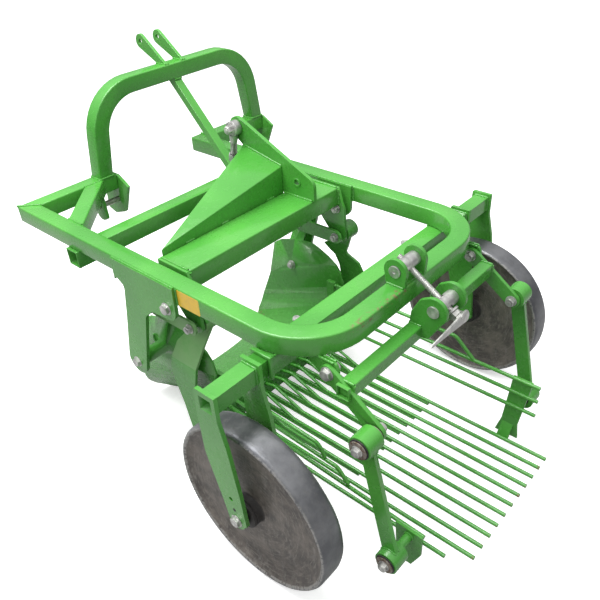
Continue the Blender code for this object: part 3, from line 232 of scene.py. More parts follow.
def dressed(node, finish, edge=0.0012, segments=1):
    """A CAD node again, its edges rounded as drawn tube and dressed plate have them."""
    mesh = frame["nodes"][node].data.copy()
    work = bmesh.new()
    work.from_mesh(mesh)
    bmesh.ops.remove_doubles(work, verts=work.verts, dist=0.00002)
    if edge:
        bmesh.ops.dissolve_limit(work, angle_limit=math.radians(1.5),
                                 verts=work.verts, edges=work.edges)
    work.to_mesh(mesh)
    work.free()
    if edge:
        mesh = modified(mesh, "BEVEL", width=edge, segments=segments, limit_method="ANGLE",
                        angle_limit=math.radians(BEVEL_FROM), use_clamp_overlap=True)
    place_piece(node + "_steel", mesh, finish, BODY_OF[node], [node])


class Shaping:
    """One geometry tree being written, with its named inputs; it ends in a plain painted mesh."""

    def __init__(self, name, **inputs):
        self.tree = bpy.data.node_groups.new(name, "GeometryNodeTree")
        sockets = self.tree.interface
        sockets.new_socket("Geometry", in_out="INPUT", socket_type="NodeSocketGeometry")
        for title, kind in inputs.items():
            sockets.new_socket(title, in_out="INPUT", socket_type="NodeSocket" + kind)
        sockets.new_socket("Geometry", in_out="OUTPUT", socket_type="NodeSocketGeometry")
        self.given = self.tree.nodes.new("NodeGroupInput").outputs

    def node(self, kind, settings=None, sockets=None, output=0):
        return add_node(self.tree, kind, settings, sockets).outputs[output]

    def ends_in(self, geometry):
        real = self.node("GeometryNodeRealizeInstances", {}, {0: geometry})
        painted = self.node("GeometryNodeSetMaterial", {}, {0: real, 2: self.given["Finish"]})
        self.tree.links.new(painted, self.tree.nodes.new("NodeGroupOutput").inputs[0])
        return self.tree


def grown(tree, seeds, **inputs):
    """The plain mesh that a geometry tree grows from a mesh of points or lines."""
    return modified(seeds, "NODES", inputs, node_group=tree)


def lines_mesh(name, lines):
    """A mesh of open lines through places given from the frame's centre line."""
    points, edges = [], []
    for line in lines:
        edges += [(len(points) + i, len(points) + i + 1) for i in range(len(line) - 1)]
        points += [at(*place) for place in line]
    mesh = bpy.data.meshes.new(name)
    mesh.from_pydata(points, edges, [])
    return mesh


def weld_bead_tree():
    """A bead along each line, swelling and shrinking in the ripples a weld leaves."""
    shape = Shaping("weld_bead", Finish="Material", Bead="Float", Ripple="Float", Swell="Float")
    curve = shape.node("GeometryNodeMeshToCurve", {}, {0: shape.given["Geometry"]})
    curve = shape.node("GeometryNodeResampleCurve", {"mode": "LENGTH"},
                       {0: curve, 3: shape.given["Ripple"]})
    ripple = shape.node("ShaderNodeTexNoise", {}, {"Scale": 260.0, "Detail": 2.0})
    scale = shape.node("ShaderNodeMath", {"operation": "MULTIPLY_ADD"},
                       {0: ripple, 1: shape.given["Swell"], 2: 0.6})
    round_ = shape.node("GeometryNodeCurvePrimitiveCircle", {}, {0: 6, 4: shape.given["Bead"]})
    bead = shape.node("GeometryNodeCurveToMesh", {}, {0: curve, 1: round_, 2: scale, 3: True})
    return shape.ends_in(bead)


WELD = weld_bead_tree()


def weld(name, body, lines, bead=0.0038):
    mesh = grown(WELD, lines_mesh(name, lines), Finish=GREEN, Bead=bead, Ripple=0.0026, Swell=0.9)
    place_piece(name, mesh, GREEN, body, crease=60)


def seam(x, y, z):
    """A straight line; what changes along it is given as a pair."""
    return [tuple(c[end] if isinstance(c, tuple) else c for c in (x, y, z)) for end in (0, 1)]


def round_four(across, along, z):
    """A closed line round a square tube's foot: low and high x, low and high y, one height."""
    (low_x, x), (low_y, y) = across, along
    return [(x, y, z), (low_x, y, z), (low_x, low_y, z), (x, low_y, z), (x, y, z)]


GREEN = green_coat("green_coat")
LOOP_GREEN = green_coat("loop_green", worn=(at(-0.165, -0.123, RAIL_TOP), (0.155, 0.022, 0.020)))
dressed("main_rail", LOOP_GREEN, 0.0055, 3)
for node in ("front_bar_left", "front_bar_right", "corner_brace"):
    dressed(node, GREEN, 0.005, 3)
weld("frame_welds", "frame", [
    seam((-RAIL_HALF, -RAIL_INNER), (BAR_FRONT, BAR_REAR), RAIL_TOP),
    seam(-RAIL_INNER, BAR_REAR, (RAIL_TOP, RAIL_UNDER)),
    seam(RAIL_HALF, (BAR_REAR, BAR_FRONT), RAIL_TOP) + [(RAIL_HALF, BAR_FRONT, RAIL_UNDER)],
    seam(RAIL_HALF, BAR_REAR, (RAIL_TOP, RAIL_UNDER)),
    seam(-RAIL_INNER, BRACE_Y, RAIL_TOP - 0.001),
    seam(-RAIL_INNER, BRACE_Y[0] - 0.002, (RAIL_TOP - 0.002, RAIL_UNDER + 0.002)),
    seam(BRACE_X, BAR_REAR, RAIL_TOP - 0.001),
    seam(BRACE_X[1], BAR_REAR, (RAIL_TOP - 0.002, RAIL_UNDER + 0.002)),
])


# ---------------------------------------------------------------- headstock
# A second bent tube stands on the front bars as an arch, held back by a flat stay.  Two
# flame-cut ears on its crown take the top link, and a pin through each bracket at the
# arch's feet takes a lower link.  The pins are turned bare steel, greased and dull.
EARS = ((0.265, 0.277), (0.348, 0.360))
EAR_FOOT_Y = (1.204, 1.262)
ARCH_TOP = 1.083
STAY_X = (0.295, 0.330)
LINK_PIN = (1.225, 0.640)
LINK_PIN_R = 0.0113
LINK_PINS = {"left": (-0.148, -0.021), "right": (0.655, 0.782)}


def lathe(work, profile, centre, steps=32, loop=False):
    """A turned shape about an axis along X: the profile's pairs are along and radius."""
    rings = []
    for along, radius in profile:
        if radius < 1e-6:
            rings.append([work.verts.new(centre + Vector((along, 0, 0)))])
            continue
        angles = [math.tau * i / steps for i in range(steps)]
        places = [Vector((along, radius * math.cos(a), radius * math.sin(a))) for a in angles]
        rings.append([work.verts.new(centre + place) for place in places])
    for first, second in zip(rings, rings[1:] + (rings[:1] if loop else [])):
        for i in range(steps):
            j = (i + 1) % steps
            corners = [first[0]] if len(first) == 1 else [first[i], first[j]]
            corners += [second[0]] if len(second) == 1 else [second[j], second[i]]
            work.faces.new(corners)


def modelled(work, name, finish, body, nodes=(), crease=32):
    """What was modelled as a finished piece, its faces turned outwards."""
    bmesh.ops.recalc_face_normals(work, faces=work.faces)
    mesh = bpy.data.meshes.new(name)
    work.to_mesh(mesh)
    work.free()
    place_piece(name, mesh, finish, body, nodes, crease)


def turned(name, finish, body, shapes, nodes=(), steps=32):
    """One mesh of turned shapes: rows of centre, profile, and whether it closes on itself."""
    work = bmesh.new()
    for centre, profile, loop in shapes:
        lathe(work, profile, at(*centre), steps, loop)
    modelled(work, name, finish, body, nodes)


def turns(steps):
    """The angles of a closed circle, its first place repeated at its end."""
    return [math.tau * i / steps for i in range(steps + 1)]


def degrees(first, last, step):
    return [math.radians(d) for d in range(first, last, step)]


def arc(x, y, z, radius, angles):
    """Places on a circle about an axis along X."""
    return [(x, y + radius * math.cos(a), z + radius * math.sin(a)) for a in angles]


def pin_profile(length, radius, chamfer=0.0018):
    """A plain turned pin with both ends chamfered."""
    return [(0, 0), (0, radius - chamfer), (chamfer, radius), (length - chamfer, radius),
            (length, radius - chamfer), (length, 0)]


bare = Finish("bare_steel", "zinc_plate", roughness=0.38, metallic=0.85)
bare.feed("Base Color", bare.mix(bare.noise(70, 4).ramp(0.35, 0.7),
                                 (0.34, 0.33, 0.31), (0.55, 0.54, 0.51)))
bare.bump(bare.noise(40, 3, stretch=(30, 1, 1)), 0.15, 0.0004)
BARE_STEEL = bare.material

dressed("headstock_arch", GREEN, 0.0055, 3)
dressed("headstock_stay", GREEN, 0.0015)
for node in ("top_link_ear_left", "top_link_ear_right",
             "lower_link_bracket_left", "lower_link_bracket_right"):
    dressed(node, GREEN)
turned("lower_link_pins", BARE_STEEL, "frame",
       [((low, *LINK_PIN), pin_profile(high - low, LINK_PIN_R), False)
        for low, high in LINK_PINS.values()])
weld("headstock_welds", "frame", [
    round_four(LEFT_FOOT, (BAR_REAR, BAR_FRONT), RAIL_TOP + 0.001),
    round_four(RIGHT_FOOT, (BAR_REAR, BAR_FRONT), RAIL_TOP + 0.001),
    *[seam(x, EAR_FOOT_Y, ARCH_TOP) for pair in EARS for x in pair],
    *[seam(x, (0.908, 0.948), RAIL_UNDER + 0.001) for x in STAY_X],
    seam(STAY_X, 1.203, 1.020),
    *[seam(face, (BAR_REAR + 0.004, BAR_FRONT - 0.004), RAIL_TOP - 0.001)
      for face in (-0.053, 0.750)],
    *[arc(face, *LINK_PIN, 0.0135, turns(16)) for face in (-0.139 + 0.012, 0.664 + 0.012)],
])


# ---------------------------------------------------------------- crossbeams
# Two square tubes welded under the rails.  The front one is cut open at its left end; the
# rear one is a sleeve with a square collar at each end, in which the wheels' forks slide.
# The forks are held by set screws, seen as a nut on a thread's end.
CROSSBEAM_Y = (0.895, 0.955)
WHEEL_BEAM_Y = (0.018, 0.078)
COLLAR_FACE = 0.440
TUBE_MIDDLE_Z = 0.660
SET_SCREW_X = 0.262


def hex_shape(name, stub):
    """A chamfered hexagon on a round washer, one across and one high; a nut has a thread end."""
    work = bmesh.new()

    def ring(radius, height, steps, six=False):
        points = []
        for i in range(steps):
            a = math.tau * i / steps
            bend = (a + math.pi / 6) % (math.pi / 3) - math.pi / 6
            far = radius / math.cos(bend) if six else radius
            level = height(far) if six else height
            points.append(work.verts.new((far * math.cos(a), far * math.sin(a), level)))
        return points

    def cover(rings):
        for first, second in zip(rings, rings[1:]):
            for i in range(len(first)):
                j = (i + 1) % len(first)
                work.faces.new((first[i], first[j], second[j], second[i]))
        work.faces.new(rings[-1])
        work.faces.new(list(reversed(rings[0])))

    cover([ring(0.66, 0.0, 24), ring(0.68, 0.03, 24), ring(0.68, 0.13, 24), ring(0.64, 0.16, 24)])
    top = 0.86 if stub else 1.0
    cover([ring(0.5, lambda far: 0.16, 12, True),
           ring(0.5, lambda far: top - 0.05 - (far - 0.5) * 1.2, 12, True), ring(0.470, top, 12)])
    if stub:
        thread = [ring(0.29, top - 0.02, 12)]
        thread += [ring(0.32 if i % 2 else 0.28, top + 0.02 + i * 0.022, 12) for i in range(5)]
        cover(thread + [ring(0.25, 1.0, 12)])
    mesh = bpy.data.meshes.new(name)
    work.to_mesh(mesh)
    work.free()
    shape = bpy.data.objects.new(name, mesh)
    bpy.context.scene.collection.objects.link(shape)
    return shape


def fastener_tree():
    """One bolt head or nut on each point, turned to face along the point's axis."""
    shape = Shaping("fasteners", Finish="Material", Fastener="Object", Seed="Int")
    axis = shape.node("GeometryNodeInputNamedAttribute", {"data_type": "FLOAT_VECTOR"}, {0: "axis"})
    size = shape.node("GeometryNodeInputNamedAttribute", {"data_type": "FLOAT_VECTOR"}, {0: "size"})
    turn = shape.node("FunctionNodeRandomValue", {"data_type": "FLOAT"},
                      {2: 0.0, 3: math.pi / 3, 8: shape.given["Seed"]}, 1)
    spun = shape.node("FunctionNodeAxisAngleToRotation", {}, {0: (0, 0, 1), 1: turn})
    faced = shape.node("FunctionNodeAlignRotationToVector", {"axis": "Z"}, {0: spun, 2: axis})
    single = shape.node("GeometryNodeObjectInfo", {}, {0: shape.given["Fastener"]}, 4)
    return shape.ends_in(shape.node("GeometryNodeInstanceOnPoints", {},
                                    {0: shape.given["Geometry"], 2: single, 5: faced, 6: size}))


FASTENERS = fastener_tree()
NUT = hex_shape("nut_shape", True)
HEAD = hex_shape("head_shape", False)

zinc = Finish("zinc_bright", "zinc_plate", roughness=0.36, metallic=0.72)
cloud = zinc.noise(45, 4).ramp(0.35, 0.70)
grime = zinc.noise(110, 5, 0.7).ramp(0.58, 0.72) * 0.55
zinc.feed("Base Color", zinc.mix(grime, zinc.mix(cloud, (0.43, 0.43, 0.42), (0.70, 0.70, 0.67)),
                                 (0.20, 0.16, 0.11)))
zinc.feed("Roughness", cloud * 0.14 + 0.32 + grime * 0.3)
zinc.bump(zinc.noise(300, 2), 0.12, 0.0003)
ZINC = zinc.material


def fasten(name, body, shape, rows):
    """Rows give the seat's x, y, z, its way (1 or -1 along X, or front), its size and height."""
    seats = bpy.data.meshes.new(name)
    seats.from_pydata([at(*row[:3]) for row in rows], [], [])
    axis = seats.attributes.new("axis", "FLOAT_VECTOR", "POINT")
    size = seats.attributes.new("size", "FLOAT_VECTOR", "POINT")
    for i, (x, y, z, way, across, height) in enumerate(rows):
        axis.data[i].vector = (0, 1, 0) if way == "front" else (way, 0, 0)
        size.data[i].vector = (across, across, height)
    mesh = grown(FASTENERS, seats, Finish=ZINC, Fastener=shape, Seed=7)
    place_piece(name, mesh, ZINC, body, crease=24)


for node in ("front_crossbeam", "wheel_beam"):
    dressed(node, GREEN, 0.0019, 2)
weld("crossbeam_welds", "frame", [
    *[seam((hand * RAIL_INNER, hand * (RAIL_HALF - 0.004)), y, RAIL_UNDER - 0.001)
      for hand in (-1, 1) for y in CROSSBEAM_Y + WHEEL_BEAM_Y],
    *[[(hand * (COLLAR_FACE - 0.001), WHEEL_BEAM_Y[rear], z)
       for rear, z in ((0, 0.690), (1, 0.690), (1, 0.630), (0, 0.630), (0, 0.690))]
      for hand in (-1, 1)],
])
fasten("fork_set_screws", "frame", NUT,
       [(hand * SET_SCREW_X, WHEEL_BEAM_Y[1], TUBE_MIDDLE_Z + 0.012, "front", 0.019, 0.026)
        for hand in (-1, 1)])


# ---------------------------------------------------------------- side plates
# Two flame-cut plates welded to the rails carry the rocker above and the share's leg below,
# each on a bolt with its head outside and its nut inside.  A blank yellow sticker is on the
# left rail's outer face, over the plate.
PLATE_OUTER = {"left": -0.4463, "right": 0.3737}
ROCKER_PIVOT = (0.430, 0.668)
SHARE_PIVOT = (0.664, 0.353)
PLATE_TOP = (0.387, 0.680)
STICKER_Y, STICKER_Z = (0.290, 0.3855), (0.6925, 0.7460)
STICKER_LIFT = 0.0004

dressed("side_plate_left", GREEN)
dressed("side_plate_right", GREEN)
weld("side_plate_welds", "frame", [
    seam(-0.440, PLATE_TOP, RAIL_TOP + 0.0005),
    seam(-RAIL_HALF - 0.001, PLATE_TOP[1] + 0.001, (RAIL_TOP - 0.003, 0.697)),
    seam(-RAIL_HALF - 0.001, PLATE_TOP[0] - 0.001, (RAIL_TOP - 0.003, RAIL_UNDER + 0.004)),
    seam(0.368, PLATE_TOP, RAIL_TOP + 0.0005),
    seam(0.3735, PLATE_TOP[0] - 0.001, (RAIL_TOP - 0.003, RAIL_UNDER + 0.004)),
])
fasten("side_plate_bolts", "frame", HEAD, [
    (PLATE_OUTER["left"], *ROCKER_PIVOT, -1, 0.030, 0.0135),
    (PLATE_OUTER["left"], *SHARE_PIVOT, -1, 0.028, 0.0130),
    (PLATE_OUTER["right"], *ROCKER_PIVOT, 1, 0.030, 0.0135),
    (PLATE_OUTER["right"], *SHARE_PIVOT, 1, 0.028, 0.0130),
])
fasten("side_plate_nuts", "frame", NUT, [
    (-0.350, ROCKER_PIVOT[0], ROCKER_PIVOT[1] - 0.0005, 1, 0.024, 0.020),
    (0.3327, ROCKER_PIVOT[0], ROCKER_PIVOT[1] - 0.0005, -1, 0.024, 0.020),
    (-0.326, *SHARE_PIVOT, 1, 0.027, 0.020),
    (0.326, *SHARE_PIVOT, -1, 0.027, 0.020),
])

sticker = Finish("sticker_yellow", "green_paint", roughness=0.35, coat=0.3)
sticker.feed("Base Color", sticker.mix(sticker.noise(60, 4).ramp(0.4, 0.7),
                                       (0.93, 0.60, 0.03), (0.82, 0.53, 0.05)))
sticker.bump(sticker.noise(35, 2), 0.25, 0.0006)
work = bmesh.new()
corner = 0.006
low_y, high_y = STICKER_Y[0] + corner, STICKER_Y[1] - corner
low_z, high_z = STICKER_Z[0] + corner, STICKER_Z[1] - corner
outline = []
for y, z, start in ((high_y, high_z, 0), (low_y, high_z, 90),
                    (low_y, low_z, 180), (high_y, low_z, 270)):
    angles = [math.radians(start + step * 22.5) for step in range(5)]
    outline += [work.verts.new(at(*place))
                for place in arc(-RAIL_HALF - STICKER_LIFT, y, z, corner, angles)]
inner_face = bmesh.ops.extrude_face_region(work, geom=[work.faces.new(outline)])["geom"]
bmesh.ops.translate(work, vec=(STICKER_LIFT * 0.9, 0, 0),
                    verts=[v for v in inner_face if isinstance(v, bmesh.types.BMVert)])
modelled(work, "blank_sticker", sticker.material, "frame")


# ---------------------------------------------------------------- rocker
# The rocking cross beam hangs between two end plates.  A welded sheet wedge stiffens it in
# front, and a thick lever with a bored boss takes the drive rod.  Three short stitch welds
# on the beam's top hold the wedge.
BEAM_Y = (0.422, 0.556)
BEAM_ENDS = (-0.350, 0.332)
WEDGE_X, WEDGE_TOP = 0.1977, 0.847      # the wedge's tall side, and its top at the beam
NOSE_Y, NOSE_Z = 0.737, (0.800, 0.886)
LEVER_FACES = (0.198, 0.212)
LEVER_HOLE = (0.490, 0.803)
SLEEVE_R, SLEEVE_BORE = 0.0157, 0.0110
DRIVE_PIN = (0.762, 0.945)
HANGER_PIN = (0.421, 0.564)
LINK_FACE = {"left": -0.386, "right": 0.309}
SIEVE_HUB = {"left": (-0.346, -0.290), "right": (0.349, 0.405)}
STITCHES = ((-0.250, 0.034), (-0.098, 0.030), (0.112, 0.034))

dressed("rocker_beam", GREEN, 0.005, 3)
dressed("rocker_gusset", GREEN, 0.003, 2)
for node in ("rocker_arm_left", "rocker_arm_right", "rocker_lever"):
    dressed(node, GREEN)
weld("rocker_welds", "rocker", [
    *[seam((x, x + run), BEAM_Y[1] + 0.001, RAIL_TOP + 0.001) for x, run in STITCHES],
    *[seam(x, (BEAM_Y[0] + 0.006, BEAM_Y[1] - 0.006), RAIL_TOP) for x in BEAM_ENDS],
    *[seam(x, BEAM_Y[0] - 0.001, (RAIL_TOP - 0.006, 0.690)) for x in BEAM_ENDS],
    seam(WEDGE_X, (BEAM_Y[1] + 0.004, NOSE_Y), (WEDGE_TOP + 0.001, NOSE_Z[1])),
    seam(WEDGE_X, NOSE_Y + 0.001, (NOSE_Z[1] - 0.002, NOSE_Z[0])),
    *[seam(x, (0.424, 0.552), RAIL_TOP + 0.001) for x in LEVER_FACES],
], bead=0.0042)
turned("lever_sleeve", GREEN, "rocker", [((LEVER_FACES[0] - 0.003, *LEVER_HOLE), [
    (0, SLEEVE_BORE), (0, SLEEVE_R - 0.001), (0.001, SLEEVE_R), (0.019, SLEEVE_R),
    (0.020, SLEEVE_R - 0.001), (0.020, SLEEVE_BORE)], True)])
fasten("rocker_nuts", "rocker", NUT, [
    (LINK_FACE["left"], *HANGER_PIN, -1, 0.024, 0.019),
    (SIEVE_HUB["left"][1] + 0.004, *HANGER_PIN, 1, 0.024, 0.019),
    (LINK_FACE["right"], *HANGER_PIN, -1, 0.024, 0.019),
    (SIEVE_HUB["right"][1] + 0.004, *HANGER_PIN, 1, 0.024, 0.019),
    (0.1674, *DRIVE_PIN, -1, 0.027, 0.024),
])
fasten("drive_pin_head", "rocker", HEAD, [(LEVER_FACES[1], *DRIVE_PIN, 1, 0.028, 0.0175)])


# ---------------------------------------------------------------- drive rod
# A forged zinc-plated eye with a screwed shank: a thick ring with turned faces, a neck that
# tapers into the rod, and a lock nut where the rod enters its tube.
EYE_FACES = (0.1674, 0.1974)
EYE_R, EYE_BORE = 0.0262, 0.0094
ROD_RUN, ROD_FALL = 0.047, 0.300

dressed("drive_rod", ZINC, 0)
middle_x = sum(EYE_FACES) / 2
low, high = EYE_FACES[0] - middle_x, EYE_FACES[1] - middle_x
turned("drive_rod_eye", ZINC, "drive_rod", [((middle_x, *DRIVE_PIN), [
    (low - 0.0004, EYE_BORE + 0.001), (low - 0.0004, EYE_R - 0.005), (low + 0.004, EYE_R + 0.0004),
    (high - 0.004, EYE_R + 0.0004), (high + 0.0002, EYE_R - 0.005),
    (high + 0.0002, EYE_BORE + 0.001)], True)], steps=40)
shank = Vector((0, ROD_RUN, -ROD_FALL)).normalized()
work = bmesh.new()
neck = ((0.024, 0.0165), (0.036, 0.0150), (0.052, 0.0125), (0.054, 0.0125))
lock = ((0.100, 0.0150), (0.100, 0.0195), (0.122, 0.0195), (0.122, 0.0150))
for profile, steps in ((neck, 24), (lock, 6)):
    lathe(work, profile, Vector(), steps, steps == 6)
turn = Vector((1, 0, 0)).rotation_difference(shank).to_matrix().to_4x4()
work.transform(Matrix.Translation(at(middle_x, *DRIVE_PIN)) @ turn)
modelled(work, "drive_rod_neck", ZINC, "drive_rod")


# ---------------------------------------------------------------- share
# A trough bent from one sheet, with its cutting edge ground bare by the soil.  A flat ear on
# each wall is pinned to a flat link that hangs from the rocker.
SHARE_LINK_PIN = (0.600, 0.562)
EAR_FACE, EAR_FOOT, EAR_FOOT_R = 0.3425, (0.676, 0.375), 0.031

share_green = green_coat("share_green", worn=(at(0.0, 0.860, 0.020), (0.460, 0.075, 0.060)))
dressed("share_trough", share_green, 0)
dusty_link = green_coat("dusty_link",
                        dusty=(at(LINK_FACE["left"], 0.51, 0.56), (0.020, 0.150, 0.060)))
dressed("share_link_left", dusty_link, 0.001)
dressed("share_link_right", GREEN, 0.001)
fasten("share_link_nuts", "share", NUT, [
    (LINK_FACE["left"], *SHARE_LINK_PIN, -1, 0.021, 0.016),
    (LINK_FACE["right"], *SHARE_LINK_PIN, -1, 0.021, 0.016),
])
weld("share_ear_welds", "share", [
    arc(hand * EAR_FACE, *EAR_FOOT, EAR_FOOT_R, degrees(-150, 20, 12)) for hand in (-1, 1)
])


# ---------------------------------------------------------------- sieve
# Twelve round steel rods are welded side by side to a flat front bar, with a shorter bearer
# under most of them and a cranked guide rod above.  Bent side rods run back from a post to
# a rib plate, and all rod ends are left as the shears cut them.
ROD_D, BEARER_D, GUIDE_D = 0.0126, 0.0144, 0.0114
ROD_PITCH = 0.0455
ROD_COUNT = range(-6, 6)
ROD_Z, BEARER_Z = 0.090, 0.0790
FLOOR_FRONT, FLOOR_REAR, SHORT_REAR, BEARER_REAR = 0.452, -0.4915, -0.425, -0.058
BAR_Z, BAR_THICK = (0.064, 0.150), 0.010
BAR_HALF = {"left": 0.380, "right": 0.384}
GUIDE = ((0.446, 0.126), (0.392, 0.139), (0.262, 0.091))
SIDE_X = {"left": (-0.300, -0.325), "right": (0.285, 0.285)}
SIDE_Y = {"left": (0.430, -0.385), "right": (0.430, -0.413)}
SIDE_RODS = {
    "left": (((0.430, 0.195), (-0.385, 0.195)),
             ((0.430, 0.247), (-0.083, 0.247), (-0.122, 0.204)),
             ((0.430, 0.297), (-0.008, 0.297), (-0.034, 0.256))),
    "right": (((0.430, 0.190), (-0.413, 0.190)),
              ((0.430, 0.250), (-0.413, 0.250)),
              ((0.430, 0.305), (-0.413, 0.305)),
              ((0.430, 0.372), (-0.110, 0.372), (-0.183, 0.305))),
}
POST = {"left": 0.330, "right": 0.384}
POST_HALF, POST_RUN = 0.0085, 0.034
RIB = {
    "left": ((-0.385, 0.200), (-0.300, 0.204), (-0.304, 0.116), (-0.330, 0.060), (-0.356, 0.060),
             (-0.384, 0.123)),
    "right": ((-0.387, 0.308), (-0.321, 0.308), (-0.304, 0.116), (-0.287, 0.054), (-0.367, 0.054),
              (-0.360, 0.110)),
}
RIB_PLATE = 0.008
TONGUE = ((0.0, 0.112), (0.0, 0.098), (0.036, 0.050), (0.036, 0.062))
TONGUE_Y = (-0.348, -0.308)
FOOT_PIN, FOOT_BOSS_R = (-0.343, 0.175), 0.0132
SWING_HUB = {"left": (-0.443, -0.387), "right": (0.3472, 0.4032)}
HAND = {"left": -1, "right": 1}


def rod_tree():
    """A round bar along each line, its corners bent round a former."""
    shape = Shaping("bent_rods", Finish="Material", Radius="Float", Bend="Float")
    curve = shape.node("GeometryNodeMeshToCurve", {}, {0: shape.given["Geometry"]})
    curve = shape.node("GeometryNodeFilletCurve", {"mode": "POLY"},
                       {0: curve, 1: 5, 2: shape.given["Bend"], 3: True})
    section = shape.node("GeometryNodeCurvePrimitiveCircle", {}, {0: 14, 4: shape.given["Radius"]})
    return shape.ends_in(shape.node("GeometryNodeCurveToMesh", {}, {0: curve, 1: section, 3: True}))


RODS = rod_tree()


def rods(name, lines, diameter, nodes=()):
    mesh = grown(RODS, lines_mesh(name, lines), Finish=ROD_GREEN, Radius=diameter / 2, Bend=0.030)
    place_piece(name, mesh, ROD_GREEN, "sieve", nodes, crease=50)


def plates(name, finish, body, outlines, nodes=(), edge=0.0009):
    """Cut plates as one mesh: each row is an outline, and the thickness as a run."""
    work = bmesh.new()
    for outline, run in outlines:
        near = [work.verts.new(at(*place)) for place in outline]
        far = [work.verts.new(at(*place) + Vector(run)) for place in outline]
        work.faces.new(near)
        work.faces.new(list(reversed(far)))
        for i in range(len(near)):
            j = (i + 1) % len(near)
            work.faces.new((near[j], near[i], far[i], far[j]))
    bmesh.ops.recalc_face_normals(work, faces=work.faces)
    sharp = [e for e in work.edges if e.calc_face_angle(0) > math.radians(BEVEL_FROM)]
    bmesh.ops.bevel(work, geom=sharp, offset=edge, segments=1, affect="EDGES", clamp_overlap=True)
    modelled(work, name, finish, body, nodes)


def box_outline(low_x, high_x, y, low_z, high_z):
    return [(low_x, y, low_z), (high_x, y, low_z), (high_x, y, high_z), (low_x, y, high_z)]


ROD_GREEN = green_coat("rod_green", worn=(at(0.0, FLOOR_REAR, ROD_Z), (0.400, 0.008, 0.020)))
hand_made = random.Random(4)
floor_rods, bearers, guides = [], [], []
for i in ROD_COUNT:
    x = i * ROD_PITCH
    rear = SHORT_REAR if i == ROD_COUNT[0] else FLOOR_REAR + 0.0005
    sag, sway = hand_made.uniform(-0.0015, 0.0005), hand_made.uniform(-0.0012, 0.0012)
    floor_rods.append([(x, FLOOR_FRONT - 0.004, ROD_Z), (x + sway, 0.0, ROD_Z + sag),
                       (x, rear, ROD_Z)])
    if i > ROD_COUNT[0] + 1:
        bearers.append([(x, FLOOR_FRONT - 0.005, BEARER_Z), (x, BEARER_REAR, BEARER_Z)])
    if i > ROD_COUNT[0]:
        guides.append([(x, y, z) for y, z in GUIDE])
rods("sieve_rods", floor_rods, ROD_D, ["sieve_floor"])
rods("sieve_bearers", bearers, BEARER_D)
rods("sieve_guides", guides, GUIDE_D)
plates("sieve_front_bar", GREEN, "sieve",
       [(box_outline(-BAR_HALF["left"], BAR_HALF["right"], FLOOR_FRONT - BAR_THICK, *BAR_Z),
         (0, BAR_THICK, 0))])
weld("sieve_floor_welds", "sieve", [
    [(x + 0.0085 * math.cos(a), FLOOR_FRONT - 0.0105, z + 0.0085 * math.sin(a))
     for a in degrees(-30, 211, 40)]
    for x in (i * ROD_PITCH for i in ROD_COUNT) for z in (ROD_Z, 0.127)
], bead=0.0024)

for side, hand in HAND.items():
    front_x, rear_x = SIDE_X[side]
    front_y, rear_y = SIDE_Y[side]
    along = {y: front_x + (rear_x - front_x) * (front_y - y) / (front_y - rear_y)
             for line in SIDE_RODS[side] for y, z in line}
    rods(f"sieve_side_rods_{side}",
         [[(along[y], y, z) for y, z in line] for line in SIDE_RODS[side]], ROD_D,
         ["sieve_side_" + side])
    near = rear_x + hand * ROD_D / 4
    tongue = [(near + hand * (RIB_PLATE / 2 - inward), TONGUE_Y[0], z) for inward, z in TONGUE]
    post_y = FLOOR_FRONT - BAR_THICK - POST_RUN
    plates(f"sieve_side_plates_{side}", GREEN, "sieve", [
        (box_outline(front_x - POST_HALF, front_x + POST_HALF, post_y, BAR_Z[0], POST[side]),
         (0, POST_RUN - 0.0003, 0)),
        ([(near, y, z) for y, z in RIB[side]], (hand * RIB_PLATE, 0, 0)),
        (tongue, (0, TONGUE_Y[1] - TONGUE_Y[0], 0)),
    ])
    hub = SWING_HUB[side]
    inner = hub[1] if side == "left" else hub[0]
    reach = abs(inner - near) - RIB_PLATE / 4 - 0.0004
    start = min(near + hand * RIB_PLATE / 4, inner - hand * 0.0004)
    turned(f"sieve_foot_boss_{side}", GREEN, "sieve",
           [((start, *FOOT_PIN), pin_profile(reach, FOOT_BOSS_R), False)])
    weld(f"sieve_side_welds_{side}", "sieve", [
        *[[(along[line[0][0]] + 0.0085 * math.cos(a),
            post_y + POST_RUN / 2 + 0.0095 * math.sin(a) - 0.019, line[0][1] + 0.004)
           for a in degrees(180, 361, 45)] for line in SIDE_RODS[side]],
        arc(near + hand * (RIB_PLATE + 0.0005), *FOOT_PIN, 0.0145, turns(14)),
    ], bead=0.0026)

dusty_arm = green_coat("dusty_green", dusty=(at(-0.350, 0.470, 0.485), (0.090, 0.130, 0.0885)))
dressed("sieve_arm_left", dusty_arm, 0.0010)
dressed("sieve_arm_right", GREEN, 0.0010)


# ---------------------------------------------------------------- rubber bushes
# Moulded black rubber sleeves in the hubs, each with a raised lip, held by a thick pressed
# washer that has rusted, under the pin's nut.
DISC_R, LIP_R = 0.0260, 0.0290
LIP, DISC = 0.0040, 0.0036
BUSH_BORE, LIP_CHAMFER, DISC_CHAMFER = 0.0085, 0.0012, 0.001

rubber = Finish("bush_rubber", "black_rubber", roughness=0.62)
dust = rubber.noise(70, 4, 0.7).ramp(0.45, 0.75) * 0.6
rubber.feed("Base Color", rubber.mix(dust, (0.018, 0.018, 0.019), (0.085, 0.080, 0.070)))
rubber.bump(rubber.noise(240, 2), 0.15, 0.0004)
RUBBER = rubber.material
rusty = Finish("rusty_washer", "zinc_plate", roughness=0.62, metallic=0.55)
patch = rusty.noise(80, 5, 0.7).ramp(0.42, 0.62)
rusty.feed("Base Color", rusty.mix(patch, (0.30, 0.27, 0.24), (0.150, 0.095, 0.062)))
rusty.bump(rusty.noise(170, 4), 0.4, 0.0006)
RUSTY = rusty.material


